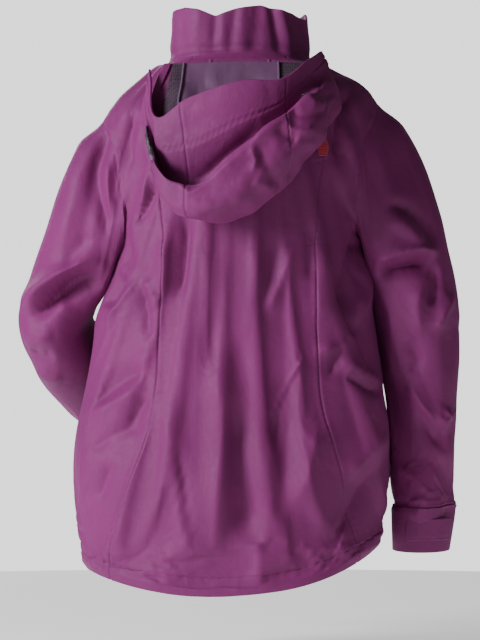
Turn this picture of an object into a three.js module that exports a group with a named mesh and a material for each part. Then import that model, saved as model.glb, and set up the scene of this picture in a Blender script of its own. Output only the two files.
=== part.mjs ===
// Hardshell jacket, empty, standing as if worn: a body of seamed panels, a stand-up collar, two set-in
// sleeves (one hanging, one bent forward), a hood hanging down the back, zips, flaps and cuff tabs.
// Units are millimetres. +Z is up, the front (zip side) faces -Y, the wearer's left is +X.
// The origin is the middle of the nape, where the collar meets the back.
import * as THREE from 'three';

// ---------------------------------------------------------------- driving dimensions
const SHELL = 2.4; // shell laminate, thick enough to stand for its soft folds
const LINING = 1.2; // hung lining
const GAP = 0.4; // between neighbouring pieces
const LINING_SETBACK = 10; // from the outside of the shell to the outside of the lining
const BODY_WIDTH = 386; // across the hem, at rest
const BACK_LENGTH = 706; // nape to hem, down the middle of the back
const FRONT_LENGTH = 672; // nape level to front hem
const SIDE_LENGTH = 664; // nape level to hem at the side
const COLLAR_HEIGHT = 66; // at the back
const COLLAR_FRONT_TOP = 48;
const NECK_HALF = 98;
const NECK_BACK = 66;
const ZIP_Y0 = -75; // the front edge is one straight line: y = ZIP_Y0 + ZIP_SLOPE * z
const ZIP_SLOPE = 0.11;
const LEAN = 0.068; // the worn body drops this much to the wearer's left, per mm of x
const SIDE_SHIFT = 12; // the skirt of the body swings this far to the wearer's left
const SQUARENESS = 2.3; // exponent of the body's cross-section
const SEAM_ANGLE = 36; // where the two long back seams run, measured round from the back
const ZIP_EDGE = 14; // half the slot between the two front panels
const COIL_WIDTH = 2.8;
const COIL_THICK = 3;
const TAPE_THICK = 1.2;
const SLIDER = { width: 11, length: 16, thick: 3.6 };
const PULL = { width: 8, length: 30, thick: 1.8, clear: 1.4 };
const FLAP = { hinge: -24, edge: 28, thick: 2.2, top: -16, bottom: -660, rise: 9.5 };
const PATCH = { width: 16, length: 42, thick: 1 };
const HEM_BAND = 26;
const CUFF_LENGTH = 60;
const CUFF_TAB = { width: 30, sweep: 95, thick: 2, start: 30 };
const FOREARM = 306;
const FOREARM_BOW = 7; // the lower sleeve curves out this far at its middle
const ELBOW_GAP = 16; // between the rigid sleeve halves, on the outside of the elbow
const BEND_GAP = 3; // between two sheets that meet at an angle
const ARMHOLE_GAP = 2.4;
const ELBOW_MITRE = 40; // degrees that each half is cut back on the inside of the elbow
const POCKET_ZIP = { x0: 112, z0: -438, x1: 128, z1: -582, width: 18, thick: 2 };
const BADGE = { width: 16, height: 22, thick: 1.4, x: -108, z: -122 };

// ---------------------------------------------------------------- small helpers
const vec = (x, y, z) => new THREE.Vector3(x, y, z);
const rad = THREE.MathUtils.degToRad;
const lerp = THREE.MathUtils.lerp;
const ease = (value, from, to) => THREE.MathUtils.smoothstep(value, from, to);

// A smooth curve through evenly spaced values.
function through(values, place) {
  const last = values.length - 1;
  const at = THREE.MathUtils.clamp(place, 0, last);
  const i = Math.min(Math.floor(at), last - 1);
  const f = at - i;
  const v1 = values[i];
  const v2 = values[i + 1];
  const v0 = i > 0 ? values[i - 1] : 2 * v1 - v2;
  const v3 = i < last - 1 ? values[i + 2] : 2 * v2 - v1;
  const bend = 2 * v0 - 5 * v1 + 4 * v2 - v3;
  const twist = 3 * v1 - 3 * v2 + v3 - v0;
  return 0.5 * (2 * v1 + (v2 - v0) * f + bend * f * f + twist * f * f * f);
}

function throughPoints(points, place) {
  return vec(
    through(points.map((p) => p.x), place),
    through(points.map((p) => p.y), place),
    through(points.map((p) => p.z), place),
  );
}

function signedVolume(points, faces) {
  let total = 0;
  for (const [a, b, c] of faces) {
    total += points[a].dot(points[b].clone().cross(points[c]));
  }
  return total / 6;
}

function solid(points, faces) {
  const outward = signedVolume(points, faces) > 0;
  const geometry = new THREE.BufferGeometry();
  const flat = points.flatMap((p) => [p.x, p.y, p.z]);
  geometry.setAttribute('position', new THREE.Float32BufferAttribute(flat, 3));
  geometry.setIndex(faces.flatMap(([a, b, c]) => (outward ? [a, b, c] : [a, c, b])));
  geometry.computeVertexNormals();
  return geometry;
}

// A sheet of cloth as a closed solid. surface(u, w) gives its outside for u and w from 0 to 1;
// the solid lies between `outside` and `outside + thick` below it, along its normal.
function sheet({ surface, across, along, thick = SHELL, outside = 0, ring = false, side = 1 }) {
  const step = 1e-4;
  const normalAt = (u, w) => {
    const du = surface(Math.min(u + step, 1), w).sub(surface(Math.max(u - step, 0), w));
    const dw = surface(u, Math.min(w + step, 1)).sub(surface(u, Math.max(w - step, 0)));
    return du.cross(dw).normalize().multiplyScalar(side);
  };
  const columns = ring ? across : across + 1;
  const points = [];
  for (const depth of [outside, outside + thick]) {
    for (let j = 0; j <= along; j += 1) {
      for (let i = 0; i < columns; i += 1) {
        const u = i / across;
        const w = j / along;
        points.push(surface(u, w).addScaledVector(normalAt(u, w), -depth));
      }
    }
  }
  const layer = columns * (along + 1);
  const at = (i, j, deep) => deep * layer + j * columns + (i % columns);
  const faces = [];
  const quad = (a, b, c, d) => faces.push([a, b, c], [a, c, d]);
  for (let j = 0; j < along; j += 1) {
    for (let i = 0; i < across; i += 1) {
      quad(at(i, j, 0), at(i + 1, j, 0), at(i + 1, j + 1, 0), at(i, j + 1, 0));
      quad(at(i, j, 1), at(i, j + 1, 1), at(i + 1, j + 1, 1), at(i + 1, j, 1));
    }
    if (!ring) {
      quad(at(0, j, 0), at(0, j + 1, 0), at(0, j + 1, 1), at(0, j, 1));
      quad(at(across, j, 0), at(across, j, 1), at(across, j + 1, 1), at(across, j + 1, 0));
    }
  }
  for (let i = 0; i < across; i += 1) {
    quad(at(i, 0, 0), at(i, 0, 1), at(i + 1, 0, 1), at(i + 1, 0, 0));
    quad(at(i, along, 0), at(i + 1, along, 0), at(i + 1, along, 1), at(i, along, 1));
  }
  return solid(points, faces);
}

// A bar with a rectangular section, from one point to another. `out` is its thickness direction.
function bar(from, to, out, width, thick) {
  const run = to.clone().sub(from);
  const y = run.clone().normalize();
  const x = new THREE.Vector3().crossVectors(y, out).normalize();
  const z = new THREE.Vector3().crossVectors(x, y);
  const geometry = new THREE.BoxGeometry(width, run.length(), thick);
  geometry.applyMatrix4(new THREE.Matrix4().makeBasis(x, y, z));
  const middle = from.clone().add(to).multiplyScalar(0.5).addScaledVector(z, thick / 2);
  return geometry.translate(middle.x, middle.y, middle.z);
}

// ---------------------------------------------------------------- body
// Eleven rings down the body, from the neck seam (0) to the hem (10). The shoulder tip is ring 2 and
// the underarm ring 5. Each ring has its height at the back, side and front, its half width and depth.
const NECK = 0;
const SHOULDER_TIP = 2;
const UNDERARM = 5;
const HEM = 10;
const SKIRT_SHARES = [0.21, 0.42, 0.63, 0.82]; // rings 6 to 9, from the underarm to the hem
const skirt = (underarm, length) => SKIRT_SHARES.map((share) => lerp(underarm, -length, share));
const WAIST_HALF = 183;
const HEM_HALF = BODY_WIDTH / 2;
const RINGS = {
  back: [0, -45, -95, -150, -205, -258, ...skirt(-258, BACK_LENGTH), -BACK_LENGTH],
  side: [-8, -26, -55, -112, -185, -250, ...skirt(-250, SIDE_LENGTH), -SIDE_LENGTH],
  front: [-50, -85, -122, -165, -212, -258, ...skirt(-258, FRONT_LENGTH), -FRONT_LENGTH],
  half: [NECK_HALF, 146, 184, 178, 167, 165, WAIST_HALF, 199, 211, HEM_HALF + 12, HEM_HALF],
  depth: [NECK_BACK, 84, 100, 109, 113, 113, 107, 112, 124, 128, 128],
};
const zipY = (z) => ZIP_Y0 + ZIP_SLOPE * z;

// A point on the outside of the body. angle: 0 back, 90 wearer's left, 180 front, in degrees.
function body(angle, ring) {
  const s = Math.sin(rad(angle));
  const c = Math.cos(rad(angle));
  const round = 2 / SQUARENESS;
  const middle = through(c > 0 ? RINGS.back : RINGS.front, ring);
  const x = through(RINGS.half, ring) * Math.sign(s) * Math.abs(s) ** round;
  const reach = c > 0 ? through(RINGS.depth, ring) : -zipY(middle);
  const y = reach * Math.sign(c) * Math.abs(c) ** round;
  const z = lerp(middle, through(RINGS.side, ring), s * s);
  const shift = SIDE_SHIFT * s * s * ease(ring, UNDERARM, UNDERARM + 1);
  return vec(x + shift, y, z - LEAN * x * ease(ring, NECK, 1.5));
}

function bodyNormal(angle, ring) {
  const round = body(angle + 0.05, ring).sub(body(angle - 0.05, ring));
  const down = body(angle, ring + 0.002).sub(body(angle, ring - 0.002));
  return round.cross(down).normalize();
}

// Angle and ring of the outside of the body at a given x and z, on the back or the front.
function bodyAt(x, z, front) {
  const wanted = x >= 0 ? 1 : -1;
  let angle = (front ? 150 : 30) * wanted;
  let ring = 5;
  for (let turn = 0; turn < 60; turn += 1) {
    const p = body(angle, ring);
    ring = THREE.MathUtils.clamp(ring + (p.z - z) / 90, NECK, HEM);
    angle += ((x - p.x) / 3.2) * (front ? -0.6 : 0.6);
  }
  return { angle, ring, point: body(angle, ring), normal: bodyNormal(angle, ring) };
}

// The armhole leaves the shoulder seam at ring 2 and comes back to the side seam at ring 5.
const ARMHOLE_BITE = { back: 30, front: 36 }; // degrees cut out of each side of the side seam
function armholeBite(ring, bite) {
  if (ring <= SHOULDER_TIP || ring >= UNDERARM) return 0;
  const part = (ring - SHOULDER_TIP) / (UNDERARM - SHOULDER_TIP);
  return bite * Math.sin(Math.acos(1 - 2 * part)) ** 0.7;
}

const degreesFor = (mm, ring) => mm / rad(through(RINGS.half, ring));

// A piece of the body between edges given round the body, with a number of columns between each two.
function panel({ edges, columns, top, bottom, along, margin = GAP, ...rest }) {
  const across = columns.reduce((sum, count) => sum + count, 0);
  const surface = (u, w) => {
    const ring = lerp(top, bottom, w);
    const inset = degreesFor(margin, ring);
    let column = u * across;
    let field = 0;
    while (field < columns.length - 1 && column > columns[field]) {
      column -= columns[field];
      field += 1;
    }
    const from = edges[field](ring) + (field === 0 ? inset : 0);
    const to = edges[field + 1](ring) - (field === columns.length - 1 ? inset : 0);
    return body(lerp(from, to, column / columns[field]), ring);
  };
  return sheet({ surface, across, along, ...rest });
}

const backEdge = (ring) => 90 - armholeBite(ring, ARMHOLE_BITE.back);
const frontEdge = (ring) => 90 + armholeBite(ring, ARMHOLE_BITE.front);
const seam = (ring) => SEAM_ANGLE * (1 - 0.16 * ease(ring, 4, 7) + 0.72 * ease(ring, 7, 10.4));
const zipEdge = (ring) => {
  const half = through(RINGS.half, ring);
  return 180 - (Math.asin((ZIP_EDGE / half) ** (SQUARENESS / 2)) * 180) / Math.PI;
};
const YOKE = 3.1; // ring where the front yoke ends
const ringGap = 0.012;

// ---------------------------------------------------------------- front closure
const zipPoint = (x, z, out = 0) => vec(x, zipY(z) - out, z);
const ZIP_DOWN = vec(0, -ZIP_SLOPE, -1).normalize();
const ZIP_OUT = vec(0, -1, ZIP_SLOPE).normalize();
const ZIP_TOP = COLLAR_FRONT_TOP - 6;
const ZIP_BOTTOM = -FRONT_LENGTH + 6;

function zipBar(x, width, thick, depth, top = ZIP_TOP, bottom = ZIP_BOTTOM) {
  const from = zipPoint(x, bottom).addScaledVector(ZIP_OUT, -depth);
  const to = zipPoint(x, top).addScaledVector(ZIP_OUT, -depth);
  return bar(from, to, ZIP_OUT, width, thick);
}

// ---------------------------------------------------------------- collar
function collar(angle, rise) {
  const s = Math.sin(rad(angle));
  const c = Math.cos(rad(angle));
  const round = 2 / SQUARENESS;
  const foot = c > 0 ? 2 : RINGS.front[0] + 2;
  const head = c > 0 ? COLLAR_HEIGHT : COLLAR_FRONT_TOP;
  const sideFoot = RINGS.side[0] + 2;
  const sideHead = lerp(COLLAR_HEIGHT, COLLAR_FRONT_TOP, 0.25);
  const z = lerp(lerp(foot, head, rise), lerp(sideFoot, sideHead, rise), s * s);
  const half = lerp(NECK_HALF - 3, NECK_HALF - 7, rise);
  const reach = c > 0 ? lerp(NECK_BACK - 3, NECK_BACK - 7, rise) : -zipY(z);
  return vec(half * Math.sign(s) * Math.abs(s) ** round, reach * Math.sign(c) * Math.abs(c) ** round, z);
}
const COLLAR_END = zipEdge(0) - 0.5;

// ---------------------------------------------------------------- sleeves
// upper and lower are the directions of the two sleeve halves where they meet at the elbow.
// The right arm hangs beside the body, clear of its waist and its hem.
const ELBOW_HALF = 57;
const FOREARM_HALF = [55, 52, 47, 43.5, 42, 41, 36.5]; // evenly spaced, from the elbow to the cuff's end
const HANG_CLEAR = 13;
const elbowX = WAIST_HALF - SIDE_SHIFT + ELBOW_HALF + HANG_CLEAR;
const wristX = HEM_HALF - SIDE_SHIFT + FOREARM_HALF.at(-1) + 2 * HANG_CLEAR;
const hang = vec((elbowX - wristX) / FOREARM, -0.062, -1).normalize();
const RIGHT_ARM = {
  side: -1,
  shoulder: vec(-165, 0, -85),
  elbow: vec(-elbowX, -14, -350),
  upper: vec(-0.05, 0, 0).add(hang).normalize(),
  lower: hang,
  hinge: vec(-1, 0, 0),
  elbowHalf: [ELBOW_HALF, ELBOW_HALF],
};
const LEFT_ARM = {
  side: 1,
  shoulder: vec(166, 0, -92),
  elbow: vec(257, -28, -350),
  lower: vec(-0.39, -0.7, -0.6).normalize(),
  elbowHalf: [45, 56],
};
for (const arm of [RIGHT_ARM, LEFT_ARM]) {
  arm.upper = arm.upper ?? arm.elbow.clone().sub(arm.shoulder).normalize();
  arm.hinge = arm.hinge ?? arm.upper.clone().cross(arm.lower).normalize();
  arm.outer = vec(arm.side, 0, 0).addScaledVector(arm.upper, -arm.side * arm.upper.x).normalize();
  arm.back = arm.outer.clone().cross(arm.upper).normalize().multiplyScalar(arm.side);
  arm.turn = new THREE.Quaternion().setFromUnitVectors(arm.upper, arm.lower);
  arm.outerLow = arm.outer.clone().applyQuaternion(arm.turn);
  arm.backLow = arm.back.clone().applyQuaternion(arm.turn);
  arm.bendUpper = arm.hinge.clone().cross(arm.upper).normalize();
  arm.bendLower = arm.hinge.clone().cross(arm.lower).normalize();
}

// Round the armhole: 0 shoulder, 0.25 back, 0.5 underarm, 0.75 front.
function armhole(arm, turn) {
  const atBack = turn <= 0.5;
  const part = atBack ? turn * 2 : (1 - turn) * 2;
  const ring = lerp(SHOULDER_TIP, UNDERARM, (1 - Math.cos(Math.PI * part)) / 2);
  const bite = armholeBite(ring, atBack ? -ARMHOLE_BITE.back : ARMHOLE_BITE.front);
  return body(arm.side * (90 + bite), ring);
}

function ringAt(centre, outer, back, halves, turn) {
  const a = turn * 2 * Math.PI;
  return centre.clone()
    .addScaledVector(outer, halves[0] * Math.cos(a))
    .addScaledVector(back, halves[1] * Math.sin(a));
}

// Upper sleeve, from the armhole (0) to the elbow (1), as one smooth curve for each turn.
function upperSleeve(arm, turn, along) {
  const start = armhole(arm, turn).add(vec(arm.side * ARMHOLE_GAP, 0, 0));
  const end = ringAt(arm.elbow, arm.outer, arm.back, arm.elbowHalf, turn);
  const reach = end.distanceTo(start);
  const top = (1 + Math.cos(turn * 2 * Math.PI)) / 2;
  const leave = vec(arm.side * lerp(0.16, 0.72, top), 0, -lerp(0.98, 0.7, top)).normalize();
  const t = along;
  const a = 2 * t ** 3 - 3 * t ** 2 + 1;
  const b = t ** 3 - 2 * t ** 2 + t;
  const c = -2 * t ** 3 + 3 * t ** 2;
  const d = t ** 3 - t ** 2;
  return start.multiplyScalar(a)
    .addScaledVector(leave, b * reach)
    .addScaledVector(end, c)
    .addScaledVector(arm.upper, d * reach);
}

// How far each half of the sleeve stops short of the elbow, all the way round.
function elbowCut(offset, bend) {
  return ELBOW_GAP / 2 + Math.tan(rad(ELBOW_MITRE)) * Math.max(0, offset.dot(bend));
}
function upperEnd(arm, turn, past = 0) {
  const end = ringAt(arm.elbow, arm.outer, arm.back, arm.elbowHalf, turn);
  const cut = elbowCut(end.clone().sub(arm.elbow), arm.bendUpper);
  return 1 - (cut - past) / end.distanceTo(armhole(arm, turn));
}

function forearm(arm, turn, distance) {
  const place = (distance / FOREARM) * (FOREARM_HALF.length - 1);
  const half = through(FOREARM_HALF, place);
  const flat = lerp(arm.elbowHalf[0] / ELBOW_HALF, 1, ease(distance, 0, 90));
  const bow = FOREARM_BOW * Math.sin((Math.PI * distance) / FOREARM);
  const along = arm.elbow.clone().addScaledVector(arm.lower, distance);
  const centre = along.addScaledVector(arm.outerLow, bow);
  return ringAt(centre, arm.outerLow, arm.backLow, [half * flat, half], turn);
}
function forearmStart(arm, turn) {
  return elbowCut(forearm(arm, turn, 0).sub(arm.elbow), arm.bendLower);
}

const CAP_START = 0.008; // share of the upper sleeve
const CAP_END = 0.2;
const AROUND = 16;

function sleeveSheet(arm, surface, along, thick = SHELL, outside = 0) {
  return sheet({ surface, across: AROUND, along, thick, outside, ring: true, side: -arm.side });
}

// ---------------------------------------------------------------- hood
// Eight rails, seven points each from the wearer's left to right: rim, crease, ridge, belly, bottom,
// then up the inner wall.
const HOOD_RAILS = [
  [[120, 90, -20], [109, 124, -84], [68, 148, -62], [0, 163, -40],
    [-52, 156, -38], [-88, 132, -12], [-108, 92, 4]],
  [[124, 91, -42], [104, 140, -146], [56, 150, -164], [7, 156, -131],
    [-50, 150, -90], [-90, 130, -48], [-117, 93, -14]],
  [[128, 93, -58], [107, 160, -160], [60, 178, -184], [10, 186, -146],
    [-50, 178, -98], [-95, 156, -60], [-126, 95, -32]],
  [[130, 95, -78], [104, 168, -184], [60, 190, -212], [6, 198, -196],
    [-56, 192, -146], [-100, 170, -98], [-131, 97, -52]],
  [[126, 96, -94], [92, 142, -196], [50, 150, -217], [8, 150, -220],
    [-44, 148, -188], [-92, 140, -136], [-132, 98, -72]],
  [[122, 91, -82], [84, 127, -164], [42, 127, -176], [4, 128, -176],
    [-38, 127, -160], [-78, 123, -118], [-123, 92, -58]],
  [[112, 84, -44], [72, 107, -92], [36, 109, -99], [2, 110, -98],
    [-34, 109, -92], [-70, 105, -76], [-114, 84, -32]],
  [[99, 73, -12], [64, 74, -7], [32, 75, -5], [0, 75, -4],
    [-32, 75, -5], [-64, 74, -7], [-100, 73, -9]],
].map((rail) => rail.map(([x, y, z]) => vec(x, y, z)));
const RIM = 0;
const CREASE = 1;
const NECK_RAIL = HOOD_RAILS.length - 1;

function hood(across, rail) {
  const points = HOOD_RAILS.map((rail) => throughPoints(rail, across * (rail.length - 1)));
  return throughPoints(points, rail);
}
function hoodSheet({ from, to, top, bottom, across, along, thick = SHELL, outside = 0 }) {
  const surface = (u, w) => hood(lerp(from, to, u), lerp(top, bottom, w));
  return sheet({ surface, across, along, thick, outside, side: -1 });
}
const HOOD_SEAM = 0.3; // share of the width taken by each side panel

// ---------------------------------------------------------------- assembly
const jacket = new THREE.Group();
const SHELL_CLOTH = { color: 0x7d3a6d, roughness: 0.62 };
const LINING_CLOTH = { color: 0x5c4058, roughness: 0.5 };
const ZIP_PLASTIC = { color: 0x2c1a2a, roughness: 0.45 };
const HOOK_TAPE = { color: 0x3a2436, roughness: 0.9 };
const RED_THREAD = { color: 0xa3203a, roughness: 0.6 };
const METAL = { color: 0x8d8790, roughness: 0.35, metalness: 0.9 };

function add(name, geometry, finish) {
  const mesh = new THREE.Mesh(geometry, new THREE.MeshStandardMaterial(finish));
  mesh.name = name;
  jacket.add(mesh);
}

const mirrored = (edge) => (ring) => -edge(ring);
const COLUMNS = { middle: 8, side: 5, front: 6 };
const BACK_ROWS = 20;
const FRONT_ROWS = 14;

// Back: a middle panel and two side panels, neck and shoulder seam to hem.
const backRange = { top: NECK, bottom: HEM, along: BACK_ROWS };
add('back_center_panel', panel({
  edges: [mirrored(seam), seam], columns: [COLUMNS.middle], ...backRange,
}), SHELL_CLOTH);
add('back_left_panel', panel({
  edges: [seam, backEdge], columns: [COLUMNS.side], ...backRange,
}), SHELL_CLOTH);
add('back_right_panel', panel({
  edges: [mirrored(backEdge), mirrored(seam)], columns: [COLUMNS.side], ...backRange,
}), SHELL_CLOTH);

// Front: a yoke and a long panel on each side of the zip, each with a lining behind them.
const hemTop = HEM - HEM_BAND / 80;
const liningRange = { top: NECK + 0.1, bottom: hemTop - 0.06, along: 14 };
const liningLayer = { thick: LINING, outside: LINING_SETBACK, margin: 13 };
const yokeRange = { top: NECK, bottom: YOKE - ringGap, along: 8 };
const frontRange = { top: YOKE, bottom: HEM, along: FRONT_ROWS };
const leftFront = { edges: [frontEdge, zipEdge], columns: [COLUMNS.front] };
const rightFront = { edges: [mirrored(zipEdge), mirrored(frontEdge)], columns: [COLUMNS.front] };
for (const [name, place] of [['left', leftFront], ['right', rightFront]]) {
  add(`front_${name}_yoke`, panel({ ...place, ...yokeRange }), SHELL_CLOTH);
  add(`front_${name}_panel`, panel({ ...place, ...frontRange }), SHELL_CLOTH);
  add(`lining_front_${name}`, panel({ ...place, ...liningRange, ...liningLayer }), LINING_CLOTH);
}
add('lining_back', panel({
  edges: [mirrored(backEdge), mirrored(seam), seam, backEdge],
  columns: [COLUMNS.side, COLUMNS.middle, COLUMNS.side], ...liningRange, ...liningLayer,
}), LINING_CLOTH);

// Hem: one band inside the lower edge, from one side of the zip to the other.
const sideSeam = () => 90;
add('hem_facing', panel({
  edges: [
    mirrored(zipEdge), mirrored(sideSeam), mirrored(seam), seam, sideSeam, zipEdge,
  ],
  columns: [COLUMNS.front, COLUMNS.side, COLUMNS.middle, COLUMNS.side, COLUMNS.front],
  top: hemTop, bottom: HEM - 0.02, along: 2, thick: LINING, outside: SHELL + 1.2, margin: 2,
}), LINING_CLOTH);

// Collar: shell outside, brushed lining inside, with a hanger loop at the nape.
const collarSurface = (u, w) => collar(lerp(-COLLAR_END, COLLAR_END, u), 1 - w);
add('collar_outer', sheet({ surface: collarSurface, across: 26, along: 3 }), SHELL_CLOTH);
add('collar_lining', sheet({
  surface: collarSurface, across: 26, along: 3, outside: SHELL + GAP, thick: SHELL,
}), LINING_CLOTH);

const LOOP = { width: 5, thick: 1.2, half: 30, drop: 12, z: 14 };
function hangerLoop() {
  const inside = NECK_BACK - 3 - 2 * SHELL - 2 * GAP;
  const surface = (u, w) => {
    const bow = Math.sin(Math.PI * u);
    const z = LOOP.z + 6 - LOOP.drop * bow - LOOP.width * w;
    return vec(lerp(-LOOP.half, LOOP.half, u), inside - 5 - 8 * bow, z);
  };
  return sheet({ surface, across: 10, along: 1, thick: LOOP.thick });
}
add('hanger_loop', hangerLoop(), SHELL_CLOTH);

// Front zip: a tape and a row of teeth on each side, a box at the bottom.
for (const [name, side] of [['left', 1], ['right', -1]]) {
  const tapeWidth = ZIP_EDGE - COIL_WIDTH - 3 * GAP;
  const tapeX = COIL_WIDTH + 2 * GAP + tapeWidth / 2;
  add(`zip_tape_${name}`, zipBar(side * tapeX, tapeWidth, TAPE_THICK, 2), ZIP_PLASTIC);
  const coilX = COIL_WIDTH / 2 + GAP / 2;
  add(`zip_teeth_${name}`, zipBar(side * coilX, COIL_WIDTH, COIL_THICK, 3), ZIP_PLASTIC);
}
const BOX = { width: 9, length: 14, thick: 2.4 };
const boxFoot = ZIP_BOTTOM + 1;
add('zip_box', bar(
  zipPoint(0, boxFoot).addScaledVector(ZIP_OUT, GAP),
  zipPoint(0, boxFoot + BOX.length).addScaledVector(ZIP_OUT, GAP),
  ZIP_OUT, BOX.width, BOX.thick,
), ZIP_PLASTIC);

function sliderAndPull(prefix, top, down, out) {
  const foot = top.clone().addScaledVector(down, SLIDER.length).addScaledVector(out, GAP);
  const head = top.clone().addScaledVector(out, GAP);
  add(`${prefix}_slider`, bar(foot, head, out, SLIDER.width, SLIDER.thick), METAL);
  const front = SLIDER.thick + PULL.clear;
  const hinge = top.clone().addScaledVector(down, SLIDER.length / 2).addScaledVector(out, front + GAP);
  const end = hinge.clone().addScaledVector(down, PULL.length);
  add(`${prefix}_pull`, bar(end, hinge, out, PULL.width, PULL.thick), ZIP_PLASTIC);
}
sliderAndPull('zip', zipPoint(0, ZIP_TOP - 4), ZIP_DOWN, ZIP_OUT);

// Storm flap over the zip, held shut by hook patches on loop patches.
const flapWidth = FLAP.edge - FLAP.hinge;
const flapMiddle = (FLAP.edge + FLAP.hinge) / 2;
add('storm_flap', zipBar(
  flapMiddle, flapWidth, FLAP.thick, -FLAP.rise, FLAP.top, FLAP.bottom,
), SHELL_CLOTH);
const PATCH_HEIGHTS = [['top', -60], ['bottom', -560]];
for (const [name, z] of PATCH_HEIGHTS) {
  const x = FLAP.edge - PATCH.width / 2 - 3;
  const rise = FLAP.rise - GAP - PATCH.thick;
  add(`flap_hooks_${name}`, zipBar(x, PATCH.width, PATCH.thick, -rise, z, z - PATCH.length), HOOK_TAPE);
  const under = rise - GAP - PATCH.thick;
  add(`flap_loops_${name}`, zipBar(x, PATCH.width, under - 1, -1, z, z - PATCH.length), HOOK_TAPE);
}

// Hand pockets: a straight zip on each front panel, with its bag behind the shell.
for (const [name, side] of [['left', 1], ['right', -1]]) {
  const top = bodyAt(side * POCKET_ZIP.x0, POCKET_ZIP.z0, true);
  const foot = bodyAt(side * POCKET_ZIP.x1, POCKET_ZIP.z1, true);
  const out = top.normal.clone().add(foot.normal).normalize();
  const clear = 3.2;
  const head = top.point.clone().addScaledVector(out, clear);
  const tail = foot.point.clone().addScaledVector(out, clear);
  add(`pocket_zip_${name}`, bar(tail, head, out, POCKET_ZIP.width, POCKET_ZIP.thick), ZIP_PLASTIC);
  const down = tail.clone().sub(head).normalize();
  const face = out.clone().addScaledVector(down, -out.dot(down)).normalize();
  const start = head.clone().addScaledVector(down, 4).addScaledVector(face, POCKET_ZIP.thick);
  sliderAndPull(`pocket_${name}`, start, down, face);
  const bagSurface = (u, w) => {
    const angle = side * lerp(124, 158, side > 0 ? u : 1 - u);
    return body(angle, lerp(6.7, 9.3, w));
  };
  add(`pocket_bag_${name}`, sheet({
    surface: bagSurface, across: 3, along: 5, outside: SHELL + 2.6, thick: LINING,
  }), LINING_CLOTH);
}

// Badge: a small plain embroidered mark on the wearer's right shoulder blade.
const badgeSurface = (u, w) => {
  const x = BADGE.x + BADGE.width * (u - 0.5);
  const z = BADGE.z + BADGE.height * (0.5 - w);
  const spot = bodyAt(x, z, false);
  return spot.point.addScaledVector(spot.normal, GAP + BADGE.thick);
};
add('shoulder_badge', sheet({
  surface: badgeSurface, across: 2, along: 2, thick: BADGE.thick,
}), RED_THREAD);

// Sleeves: a cap that gives at the shoulder, a rigid upper half, an elbow gusset that gives, a rigid
// lower half, a cuff and its tab.
for (const [name, arm] of [['left', LEFT_ARM], ['right', RIGHT_ARM]]) {
  const upperAt = (from, to) => (u, w) => upperSleeve(arm, u, lerp(from(u), to(u), w));
  const capEnd = () => CAP_END;
  const capSurface = upperAt(() => CAP_START, () => CAP_END - 0.004);
  const upperSurface = upperAt(capEnd, (u) => upperEnd(arm, u));
  add(`${name}_sleeve_cap`, sleeveSheet(arm, capSurface, 3), SHELL_CLOTH);
  add(`${name}_upper_sleeve`, sleeveSheet(arm, upperSurface, 6), SHELL_CLOTH);
  const elbowSurface = (u, w) => {
    const a = upperSleeve(arm, u, upperEnd(arm, u, BEND_GAP));
    const b = forearm(arm, u, forearmStart(arm, u) - BEND_GAP);
    const span = a.distanceTo(b);
    const knee = a.clone().add(b).multiplyScalar(0.5);
    const lift = knee.clone().sub(arm.elbow).normalize();
    const bow = Math.sin(Math.PI * w) * span * 0.08;
    return a.lerp(b, w).addScaledVector(lift, bow);
  };
  add(`${name}_elbow_gusset`, sleeveSheet(arm, elbowSurface, 4), SHELL_CLOTH);
  const cuffStart = FOREARM - CUFF_LENGTH;
  const lowerSurface = (u, w) => forearm(arm, u, lerp(forearmStart(arm, u), cuffStart - GAP, w));
  add(`${name}_lower_sleeve`, sleeveSheet(arm, lowerSurface, 5), SHELL_CLOTH);
  const cuffSurface = (u, w) => forearm(arm, u, lerp(cuffStart, FOREARM, w));
  add(`${name}_cuff`, sleeveSheet(arm, cuffSurface, 2), SHELL_CLOTH);
  const tabFrom = CUFF_TAB.start / 360;
  const tabSweep = CUFF_TAB.sweep / 360;
  const tabTop = cuffStart + (CUFF_LENGTH - CUFF_TAB.width) / 2;
  const tabRise = PATCH.thick + 3 * GAP + 0.6 + CUFF_TAB.thick;
  const tabSurface = (u, w) => forearm(arm, tabFrom + tabSweep * u, tabTop + CUFF_TAB.width * w);
  add(`${name}_cuff_tab`, sheet({
    surface: tabSurface, across: 6, along: 1, outside: -tabRise, thick: CUFF_TAB.thick, side: -arm.side,
  }), SHELL_CLOTH);
  const loopSurface = (u, w) => forearm(
    arm, tabFrom + tabSweep * lerp(0.4, 0.98, u), tabTop + 3 + (CUFF_TAB.width - 6) * w,
  );
  add(`${name}_cuff_loops`, sheet({
    surface: loopSurface, across: 4, along: 1,
    outside: -PATCH.thick - GAP, thick: PATCH.thick, side: -arm.side,
  }), HOOK_TAPE);
}

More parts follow.
